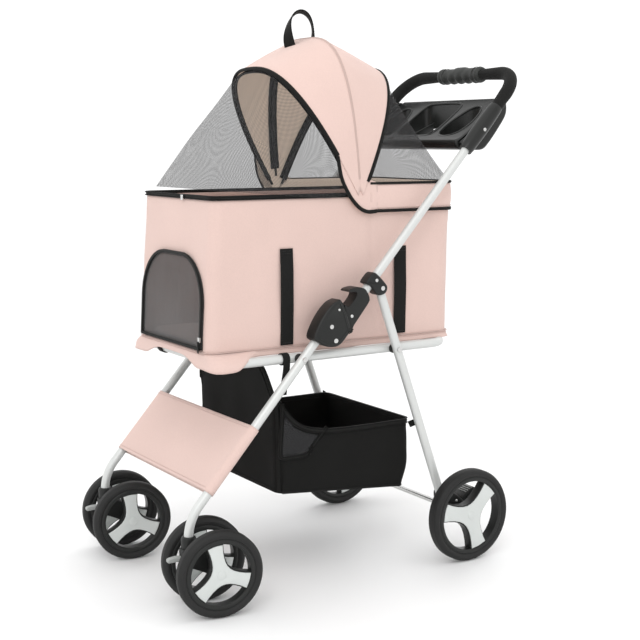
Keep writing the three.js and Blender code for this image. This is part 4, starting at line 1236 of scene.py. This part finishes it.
class STROLLER_OT_door(StrollerOperator):
    """Makes the mesh front door with its binding, zip and puller"""
    bl_idname = "stroller.door"
    bl_label = "Front door"

    def make(self, sizes):
        door = Piece("door_mesh")
        grow = 8.0
        half, top, radius = DOOR_X + grow, DOOR_TOP + grow, DOOR_CORNER + grow
        rows = []
        for z in np.linspace(DOOR_FOOT - 4, top - 0.5, 40):
            over = max(0.0, z - (top - radius))
            wide = half if over <= 0 else half - radius + math.sqrt(max(radius ** 2 - over ** 2, 1.0))
            held = min(1.0, (z - DOOR_FOOT + 4) / 30, (top - z) / 30)
            row = []
            for t in np.linspace(-1, 1, 60):
                x = wide * t
                fold = held * (1 - t ** 4) * (2.6 * ripple(x, 0, z * 0.3, 26) + 1.5
                                              * math.sin(x / 17 + 0.6 * math.sin(z / 40)))
                row.append((x, cabin_front(z) - 2.6 - 2.5 * held * (1 - t * t) + fold, z))
            rows.append(row)
        door.skin(rows, "door_net", around=False)
        made = door.build("door", ["cabin_door"], crease=80)

        edge = Piece("door_binding")
        arch = door_arch(grow - 3)
        path = np.array([(x, cabin_front(z) - 2.8, z) for x, z in arch])
        edge.sweep(path, band_section(3.2, 9.0), "zip_tape", across=(0, 1, 0.02))
        inner = np.array([(x, cabin_front(z) - 4.6, z) for x, z in door_arch(grow - 7.4)])
        edge.stitches(inner, (0, -1, 0), "black_thread")
        foot = np.array([(x, cabin_front(DOOR_FOOT - 3) - 2.6, DOOR_FOOT - 3)
                         for x in np.linspace(-half + 3, half - 3, 16)])
        edge.sweep(foot, band_section(3.0, 9.0), "black_tape", across=(0, 1, 0))
        edge.build("door")

        pull = Piece("door_zip_pull")
        x0, z0 = DOOR_X + 3, DOOR_FOOT + 8
        y0 = cabin_front(z0) - 6
        pull.slab(np.array([(y0 - 1.8, z0), (y0 + 1.8, z0), (y0 + 1.8, z0 + 9), (y0 - 1.8, z0 + 9)]), x0 - 3,
                  x0 + 3, "bright_steel", soft=0.8)
        pull.sweep([(x0, y0 - 2.4, z0 + 2), (x0 + 0.5, y0 - 3.2, z0 - 8), (x0 + 1, y0 - 3.0, z0 - 18)],
                   band_section(5, 1.4), "black_tape",
                   across=(0, 1, 0))
        pull.build("door")


def dome_point(angle, u, out=0.0):
    """A point of the hood's dome: angle about the hood pivot, u from one side to the other."""
    table = np.array(BOWS, float)
    height = np.interp(angle, table[:, 0], table[:, 1]) + out
    power = np.interp(angle, table[:, 0], table[:, 2])
    t = math.pi * u
    x = (HOOD_X + out) * math.copysign(abs(math.cos(t)) ** (2 / power), math.cos(t))
    r = height * math.sin(t) ** (2 / power)
    a = math.radians(angle)
    return np.array((x, HOOD_PIVOT[0] + r * math.cos(a), HOOD_PIVOT[1] + r * math.sin(a)))


U_STEPS = np.concatenate([[0.004, 0.01], np.linspace(0.02, 0.98, 72), [0.99, 0.996]])


# Square metres of one face of the part's own sheets
FRONT_PANEL_AREA = 0.0489
REAR_PANEL_AREA = 0.0540


class STROLLER_OT_hood(StrollerOperator):
    """Sews the hood, its piping, bows, see-through meshes, rear band and carry loop"""
    bl_idname = "stroller.hood"
    bl_label = "Hood"

    def make(self, sizes):
        self.panel("hood_front_cloth", BOW_MIDDLE, BOW_FRONT, "hood_front_panel", "hood_middle",
                   "hood_front", FRONT_PANEL_AREA, sizes)
        self.panel("hood_rear_cloth", BOW_REAR, BOW_MIDDLE, "hood_rear_panel", "seat_frame", "hood_middle",
                   REAR_PANEL_AREA, sizes)
        pipe = sizes.piping_radius / MM
        self.piping("hood_front_piping", BOW_FRONT, 8.5, pipe * 1.3, "hood_front", "hood_bow_front",
                    "black_tape", 10, 0.075)
        self.piping("hood_middle_piping", BOW_MIDDLE, 5.0, pipe * 0.7, "hood_middle", "hood_bow_middle",
                    "pink_thread", 19, 0.012)
        self.piping("hood_rear_piping", BOW_REAR, 7.0, pipe * 1.2, "seat_frame", "hood_bow_rear",
                    "black_tape", 17, 0.022)
        self.front_net()
        self.rear_net()
        self.band(pipe)
        self.loop()

    def panel(self, name, low, high, node, behind, ahead, area, sizes):
        cloth = Piece(name)
        rows = []
        for s in np.linspace(0, 1, 18):
            angle = low + (high - low) * s
            row = []
            for u in U_STEPS:
                full = math.sin(math.pi * u) ** 0.8
                slack = 4 * s * (1 - s) * full
                out = 1.0 - 1.2 * slack + slack * 3.4 * ripple(u * 900, angle * 5, 3, 120)
                out += slack * 1.5 * ripple(u * 900, angle * 2, 8, 45)
                chord = dome_point(low, u, out) * (1 - s) + dome_point(high, u, out) * s
                row.append(chord * 0.8 + dome_point(angle, u, out) * 0.2)
            rows.append(row)
        cloth.skin(rows, "hood_cloth", around=False)
        made = cloth.build(None, (), crease=80)
        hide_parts(node)
        thickened(made, sizes.cloth_thickness, "lining_cloth", offset=1.0)
        at_low, at_high = dome_point(low, 0.5), dome_point(high, 0.5)
        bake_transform(made)

    def piping(self, name, angle, width, radius, body, node, finish, inner_width, start):
        """The seam over a bow: piping outside, and a tape that holds the bow's wire inside."""
        pipe = Piece(name)
        steps = U_STEPS[(U_STEPS >= start) & (U_STEPS <= 1 - start)]
        line = np.array([dome_point(angle, u, 1.6) for u in [start, *steps, 1 - start]])
        middle = np.array([0.0, *HOOD_PIVOT])
        out = line - middle
        side, up = frames_along(line, out, False)
        pipe.sweep(line, band_section(width, radius * 1.5), finish, across=out)
        pipe.sweep(line + up * radius * 0.5, circle(radius * 0.8, 12), finish, across=out)
        thread = "black_thread" if finish == "black_tape" else "pink_thread"
        pipe.stitches(line + up * radius * 0.8 + side * (width / 2 - 1), up, thread, pitch=5.5)
        held = np.array([dome_point(angle, u, -3.2) for u in np.linspace(0.02, 0.98, 60)])
        pipe.sweep(held, band_section(inner_width, 1.4), "black_tape", across=held - middle)
        inside = np.array([dome_point(angle, u, -5) for u in np.linspace(0.012, 0.988, 60)])
        pipe.sweep(inside, circle(2.3, 14), "black_moulding", across=inside - middle)
        pipe.build(body, [node])

    def front_net(self):
        """The front mesh, built in two halves."""
        rows = []
        for s in np.linspace(0, 1, 34):
            angle = BOW_FRONT + (175.4 - BOW_FRONT) * s
            slack = 4 * s * (1 - s)
            row = []
            for u in U_STEPS:
                out = -0.5 - 3 * slack * math.sin(math.pi
                                                  * u) ** 2 + 2.5 * slack * ripple(u * 700, angle * 4, 1, 90)
                chord = dome_point(BOW_FRONT, u, out) * (1 - s) + dome_point(175.4, u, out) * s
                row.append(chord * 0.85 + dome_point(angle, u, out) * 0.15)
            rows.append(row)
        fold, middle = len(rows) // 2, len(U_STEPS) // 2
        for name, part, behind, ahead, at_low, at_high in (
                ("hood_front_mesh", rows[:fold + 1], "hood_middle", "hood_front", rows[fold], rows[0]),
                ("hood_front_mesh_foot", rows[fold:], "seat_frame", "hood_middle", rows[-1], rows[fold])):
            net = Piece(name)
            net.skin(part, "hood_net", around=False)
            made = net.build(None, (), crease=80)
            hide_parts("front_mesh")
            tuple(at_low[middle] * MM)
            tuple(at_high[middle] * MM)
            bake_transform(made)

    def rear_net(self):
        net = Piece("hood_rear_mesh")
        foot_line = np.array(self.band_line(BAND_TOP - 1, -1.0))
        run = np.concatenate([[0], np.cumsum(np.linalg.norm(np.diff(foot_line, axis=0), axis=1))])
        rows = []
        for s in np.linspace(0, 1, 28):
            row = []
            for u in U_STEPS:
                foot = np.array([np.interp(u * run[-1], run, foot_line[:, k]) for k in range(3)])
                slack = 4 * s * (1 - s) * math.sin(math.pi * u) ** 2
                top = dome_point(BOW_REAR, u, -0.5)
                sag = np.array((0, -4.0 + 2.5 * ripple(u * 600, s * 200, 5, 80), -2.0)) * slack
                row.append(top * (1 - s) + foot * s + sag)
            rows.append(row)
        net.skin(rows, "hood_net", around=False)
        made = net.build("seat_frame", ["rear_mesh"], crease=80)

    def band_line(self, z, out=0.0):
        ring = [(HOOD_X + out, y) for y in np.linspace(BAND_FRONT, BAND_REAR - 30, 20)]
        ring += [(HOOD_X + out - 30 + 30 * math.cos(a), BAND_REAR + out - 30 + 30 * math.sin(a))
                 for a in np.linspace(0, math.pi / 2, 9)[1:]]
        ring += [(x, BAND_REAR + out) for x in np.linspace(HOOD_X - 30, 0, 10)[1:]]
        half = [(x, y, z) for x, y in ring]
        return half + [(-x, y, z) for x, y, z in reversed(half[:-1])]

    def band(self, pipe):
        cloth = Piece("hood_band_cloth")
        rows = [self.band_line(z, -0.6 + 1.8 * math.sin(math.pi * t)) for t, z in
                ((t, BAND_FOOT + (BAND_TOP - BAND_FOOT) * t) for t in np.linspace(0, 1, 9))]
        cloth.skin(rows, "hood_cloth", around=False)
        made = cloth.build("seat_frame", ["hood_band"], crease=80)
        thickened(made, 1.4 * MM, "lining_cloth")
        trim = Piece("hood_band_piping")
        for z in (BAND_FOOT, BAND_TOP):
            line = np.array(self.band_line(z, 0.6))
            trim.sweep(line, band_section(2.6, 5.5 if z == BAND_FOOT else 4.5), "black_tape",
                       across=(0, 0, 1))
        line = np.array(self.band_line(BAND_FOOT + 5.5, 1.2))
        trim.stitches(line, unit(np.array((1.0, 0.6, 0))), "pink_thread")
        trim.build("seat_frame")
        for label, side in SIDES:
            self.corner(label, side, pipe)

    def corner(self, label, side, pipe):
        """The hood cloth's foot: it runs down past the bows and curves round into the band."""
        point = Piece(f"hood_corner_{label}")
        front = smoothed([(-23, 763), (-20, 742), (-15, 721), (-3, 699), (9, 683), (25, 669), (42, 663),
                          (60, 664)],
                         4, closed=False)
        back = smoothed([(-23, 763), (8, 744), (42, 722), (60, 714), (62, 690), (61, 665)], 6, closed=False)
        rows = []
        for s in np.linspace(0, 1, 9):
            row = []
            for t in np.linspace(0, 1, 30):
                a, b = (np.array([np.interp(t * (len(c) - 1), range(len(c)), [q[k] for q in c])
                                  for k in (0, 1)])
                        for c in (front, back))
                y, z = a * (1 - s) + b * s
                row.append((side * self.corner_x(z, 0.4), y, z))
            rows.append(row)
        point.skin(rows, "hood_cloth", around=False)
        made = point.build("seat_frame", crease=80)
        thickened(made, 1.4 * MM, "lining_cloth", offset=0.0)
        trim = Piece(f"hood_corner_piping_{label}")
        line = np.array([(side * self.corner_x(z, 1.4), y, z) for y, z in front])
        trim.sweep(line, band_section(7, pipe * 1.6), "black_tape", across=(side, 0, 0))
        trim.sweep(line + (side * pipe * 0.5, 0, 0), circle(pipe * 0.9, 12), "black_tape",
                   across=(side, 0, 0))
        trim.build("seat_frame")

    def corner_x(self, z, out):
        return HOOD_X + out - np.interp(z, (720, 735, 751, 768), (0.2, 0.9, 1.8, 3.2))

    def loop(self):
        loop = Piece("carry_loop_webbing")
        path = []
        for a in np.linspace(-0.16, 1.16, 40):
            t = math.pi * a
            path.append((2.0 * math.sin(t * 2), -9 + 27 * math.cos(t), 982 + 43 * math.sin(t)))
        path = np.array(path)
        centre = np.array((0, -9, 978.0))
        twist = np.array([(0.35 * math.sin(2.4 * k / 39 * math.pi), 0, 0) for k in range(40)])
        loop.sweep(path, band_section(24, 2.4), "black_tape", across=(path - centre) / 40 + twist)
        side, up = frames_along(path, (path - centre) / 40 + twist, False)
        for edge in (-9.6, 9.6):
            loop.stitches(path + side * edge + up * 1.3, up, "black_thread")
        loop.build("hood_middle", ["carry_loop"])


def basket_rim(x, y):
    side = BASKET_LOW + BASKET_TIP * math.exp(-(y - BASKET_FRONT) / 34)
    front = y < BASKET_FRONT + 4 and abs(x) < BASKET_X - 8
    if not front:
        return side
    edge = min(1.0, max(0.0, (BASKET_X - 8 - abs(x)) / 34))
    return side + (BASKET_FRONT_RIM - side) * math.sin(edge * math.pi / 2)


class STROLLER_OT_basket(StrollerOperator):
    """Sews the storage basket with its mesh windows, bindings and hanging straps"""
    bl_idname = "stroller.basket"
    bl_label = "Basket"

    def wall_point(self, x, y, t):
        """A point of the basket wall: t is 0 at the floor and 1 at the rim."""
        rim = basket_rim(x, y)
        floor = 150 - 0.095 * y
        z = floor + (rim - floor) * t
        narrow = 8 * (1 - t)
        belly = 4.5 * math.sin(min(1.0, t * 1.1) * math.pi) + 3.5 * ripple(x, y, z,
                                                                           70) * math.sin(t * math.pi)
        grow = belly - narrow
        nx = max(-1, min(1, x / (BASKET_X - 14)))
        nx = math.copysign(max(0.0, abs(nx) - 0.85) / 0.15, nx) if abs(nx) > 0.85 else 0
        ny = 1 if y > BASKET_REAR - 14 else -1 if y < BASKET_FRONT + 14 else 0
        lean = -12 * max(0.0, (z - 270) / 126) ** 1.5 if y < BASKET_FRONT + 6 else 0
        return (x + nx * grow, y + ny * grow * 0.8 + lean, z)

    def window(self, p):
        x, y, z = p
        on_side = abs(x) > BASKET_X - 14 and -140 < y < -88 + (z - WINDOW_FOOT)
        inside = on_side and WINDOW_FOOT < z < basket_rim(x, y) - 7
        return "basket_net" if inside else "black_weave"

    def make(self, sizes):
        tub = Piece("basket_cloth")
        ring = tub_ring(BASKET_X, BASKET_FRONT, BASKET_REAR, 16, 260)
        rows = []
        for share in (0.15, 0.45, 0.75, 0.93):
            rows.append([(x * share, y * share, 150 - 0.095 * y * share - 5 * math.cos(share * 1.5)
                          + 1.5 * ripple(x * share, y * share, 4, 60)) for x, y in ring * 0.955])
        rows += [[self.wall_point(x, y, t) for x, y in ring] for t in np.linspace(0, 1, 30)]
        tub.skin(rows, self.window, ends="first")
        made = tub.build("seat_frame", ["basket"], crease=70)
        thickened(made, 1.1 * MM)
        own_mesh(made)

        trim = Piece("basket_binding")
        rim = np.array([self.wall_point(x, y, 1.0) for x, y in ring])
        trim.sweep(rim, band_section(3.2, 9), "black_tape", across=(0, 0, 1), ring=True)
        for side in (-1, 1):
            edge = []
            for y, z in ((-139, 330), (-141, 300), (-143, 262), (-143, 234), (-120, 230), (-90, 231),
                         (-78, 244), (-62, 260), (-46, 277)):
                rim_z, floor = basket_rim(BASKET_X, y), 150 - 0.095 * y
                x, yy, zz = self.wall_point(side * BASKET_X, y, (z - floor) / (rim_z - floor))
                edge.append((x + side * 0.9, yy, zz))
            trim.sweep(smoothed(edge, 5, closed=False), band_section(2.0, 7), "black_tape",
                       across=(0, 0.6, 0.8))
        for side in (-1, 1):
            seam = [self.wall_point(side * (BASKET_X - 4.5), BASKET_FRONT + 4.5, t)
                    for t in np.linspace(0.02, 0.98, 14)]
            trim.sweep(np.array(seam) + (side * 0.8, -0.8, 0), band_section(6, 1.8), "black_tape",
                       across=(side, -1, 0))
        foot = np.array([self.wall_point(x, y, 0.02) for x, y in ring])
        trim.sweep(foot, circle(1.5, 10), "black_tape", across=(0, 0, 1), ring=True)
        done = trim.build("seat_frame")
        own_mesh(done)

        straps = Piece("basket_straps")
        for side in (-1, 1):
            around = [(SEAT_X * side + 10.2 * math.cos(a), -141, SEAT_Z + 10.2 * math.sin(a))
                      for a in np.linspace(0, TURN, 20)[:-1]]
            straps.sweep(np.array(around), band_section(14, 1.6), "black_tape", across=np.array(around)
                         - (SEAT_X * side, -141, SEAT_Z), ring=True)
            hang = [(side * 164.5, -141, 408), (side * 164, -141, 396), (side * 156, -140, 372),
                    (side * 149, -139, 346)]
            straps.sweep(smoothed(hang, 5, closed=False), band_section(14, 1.6), "black_tape",
                         across=(1, 0, 0.2))
        for x in (-80, 80):
            around = [(x, SEAT_FRONT + 10.2 * math.cos(a), SEAT_Z + 10.2 * math.sin(a))
                      for a in np.linspace(0, TURN, 20)[:-1]]
            hang = [(x, SEAT_FRONT + 8, 404), (x, SEAT_FRONT + 40, 398), (x, BASKET_FRONT - 22, 394),
                    (x, BASKET_FRONT - 11, 392)]
            straps.sweep(np.array(around), band_section(18, 1.6), "black_tape", across=np.array(around)
                         - (x, SEAT_FRONT, SEAT_Z), ring=True)
            straps.sweep(smoothed(hang, 5, closed=False), band_section(18, 1.6), "black_tape",
                         across=(0, 0, 1))
        straps.build("seat_frame")

        for label, side in SIDES:
            tie = Piece(f"basket_rear_strap_{label}")
            hang = [(side * 146, 140, 258), (side * 152, 146, 262), (side * 158, 148, 264),
                    (side * 164, 146, 266)]
            tie.sweep(smoothed(hang, 5, closed=False), band_section(12, 1.6), "black_tape",
                      across=(0, 1, 0.3))
            tie.build("seat_frame")


class STROLLER_OT_footrest(StrollerOperator):
    """Sews the pink sleeve that bridges the two front legs"""
    bl_idname = "stroller.footrest"
    bl_label = "Footrest sleeve"

    def make(self, sizes):
        sleeve = Piece("footrest_cloth")
        rows = []
        a = math.radians(LEG_ANGLE)
        for d in np.linspace(SLEEVE_TOP, SLEEVE_FOOT, 26):
            y0, z0 = along(SEAT_PIVOT, LEG_ANGLE, d)
            edge = min(1.0, (SLEEVE_TOP - d) / 20, (d - SLEEVE_FOOT) / 20)
            rows.append(self.rounded(y0, z0, a, edge, d))
        sleeve.skin(rows, "pink_cloth", ends=False)
        made = sleeve.build("front_frame", ["footrest_sleeve"], crease=70)
        thickened(made, 1.0 * MM)
        hem = Piece("footrest_hems")
        for d in (SLEEVE_TOP - 6, SLEEVE_FOOT + 6):
            y0, z0 = along(SEAT_PIVOT, LEG_ANGLE, d)
            line = np.array(self.rounded(y0, z0, a, 0.2, d))
            out = np.array([(0, -math.sin(a) * (1 if k < SLEEVE_STEPS / 2 else -1),
                             math.cos(a) * (1 if k < SLEEVE_STEPS / 2 else -1))
                            for k in range(len(line))])
            hem.stitches(line + out * 0.5, out, "pink_thread")
        hem.build("front_frame")

    def rounded(self, y0, z0, a, edge, d):
        """One loop of the sleeve: over both legs and back underneath."""
        ring = []
        for k in range(SLEEVE_STEPS):
            t = k / SLEEVE_STEPS
            if t < 0.46:
                s = t / 0.46
                x, off = LEG_X - 2 * LEG_X * s, SLEEVE_OUT
            elif t < 0.5:
                b = math.pi / 2 + (t - 0.46) / 0.04 * math.pi
                x, off = -LEG_X + SLEEVE_OUT * math.cos(b), SLEEVE_OUT * math.sin(b)
            elif t < 0.96:
                s = (t - 0.5) / 0.46
                x, off = -LEG_X + 2 * LEG_X * s, -SLEEVE_OUT
            else:
                b = -math.pi / 2 + (t - 0.96) / 0.04 * math.pi
                x, off = LEG_X + SLEEVE_OUT * math.cos(b), SLEEVE_OUT * math.sin(b)
            if abs(x) < LEG_X:
                middle = 1 - (x / LEG_X) ** 2
                slack = middle ** 0.35
                sag = edge * 1.6 * ripple(x, d, off, 75) - 1.8 * edge * middle
                off += -math.copysign(1, off) * 1.6 * slack + sag
            ring.append((x, y0 - off * math.sin(a), z0 + off * math.cos(a)))
        return ring


class STROLLER_OT_studio(StrollerOperator):
    """Sets the floor, the soft lights and the camera"""
    bl_idname = "stroller.studio"
    bl_label = "Studio"

    def make(self, sizes):
        scene = bpy.context.scene
        floor = Piece("studio_floor_sheet")
        wide = np.linspace(-FLOOR_REACH, FLOOR_REACH, 7)
        floor.skin([[(x, y, 0.0) for x in wide] for y in wide], "studio_floor", around=False)
        floor.build()
        world = bpy.data.worlds.new("soft_room")
        world.use_nodes = True
        world.node_tree.nodes["Background"].inputs["Color"].default_value = (1.0, 1.0, 1.0, 1)
        world.node_tree.nodes["Background"].inputs["Strength"].default_value = ROOM_LIGHT
        scene.world = world
        for name, place, size, power in LAMPS:
            lamp = bpy.data.lights.new(name, "AREA")
            lamp.energy = power
            lamp.size = size
            made = bpy.data.objects.new(name, lamp)
            made.location = place
            made.rotation_euler = (Vector(LAMP_AIM) - Vector(place)).to_track_quat("-Z", "Y").to_euler()
            scene.collection.objects.link(made)
        view = bpy.data.cameras.new("studio_view")
        view.sensor_width = SENSOR
        view.lens = sizes.lens
        made = bpy.data.objects.new("studio_view", view)
        made.location = VIEW_PLACE
        made.rotation_euler = Vector(VIEW_AIM).to_track_quat("-Z", "Y").to_euler()
        scene.collection.objects.link(made)
        scene.camera = made
        scene.view_settings.view_transform = "Standard"


class STROLLER_PT_panel(bpy.types.Panel):
    """Lists the steps that build the stroller"""
    bl_idname = "STROLLER_PT_panel"
    bl_label = "Pet stroller"
    bl_space_type = "VIEW_3D"
    bl_region_type = "UI"
    bl_category = "Stroller"

    def draw(self, context):
        for step in STEPS:
            self.layout.operator(step.bl_idname)
        for group in (context.scene.stroller_sizes, context.scene.stroller_colours):
            box = self.layout.box()
            for name in group.bl_rna.properties.keys():
                if name not in ("rna_type", "name"):
                    box.prop(group, name)


STEPS = (STROLLER_OT_tubes, STROLLER_OT_fold_joints, STROLLER_OT_wheels, STROLLER_OT_casters,
         STROLLER_OT_handle, STROLLER_OT_cabin, STROLLER_OT_door, STROLLER_OT_hood, STROLLER_OT_basket,
         STROLLER_OT_footrest, STROLLER_OT_studio)
CLASSES = (StrollerSizes, StrollerColours, *STEPS, STROLLER_PT_panel)


def register():
    for cls in CLASSES:
        bpy.utils.register_class(cls)
    bpy.types.Scene.stroller_sizes = PointerProperty(type=StrollerSizes)
    bpy.types.Scene.stroller_colours = PointerProperty(type=StrollerColours)


def unregister():
    del bpy.types.Scene.stroller_sizes
    del bpy.types.Scene.stroller_colours
    for cls in reversed(CLASSES):
        bpy.utils.unregister_class(cls)


def main():
    register()
    for step in STEPS:
        group, name = step.bl_idname.split(".")
        getattr(getattr(bpy.ops, group), name)()


if __name__ == "__main__":
    main()
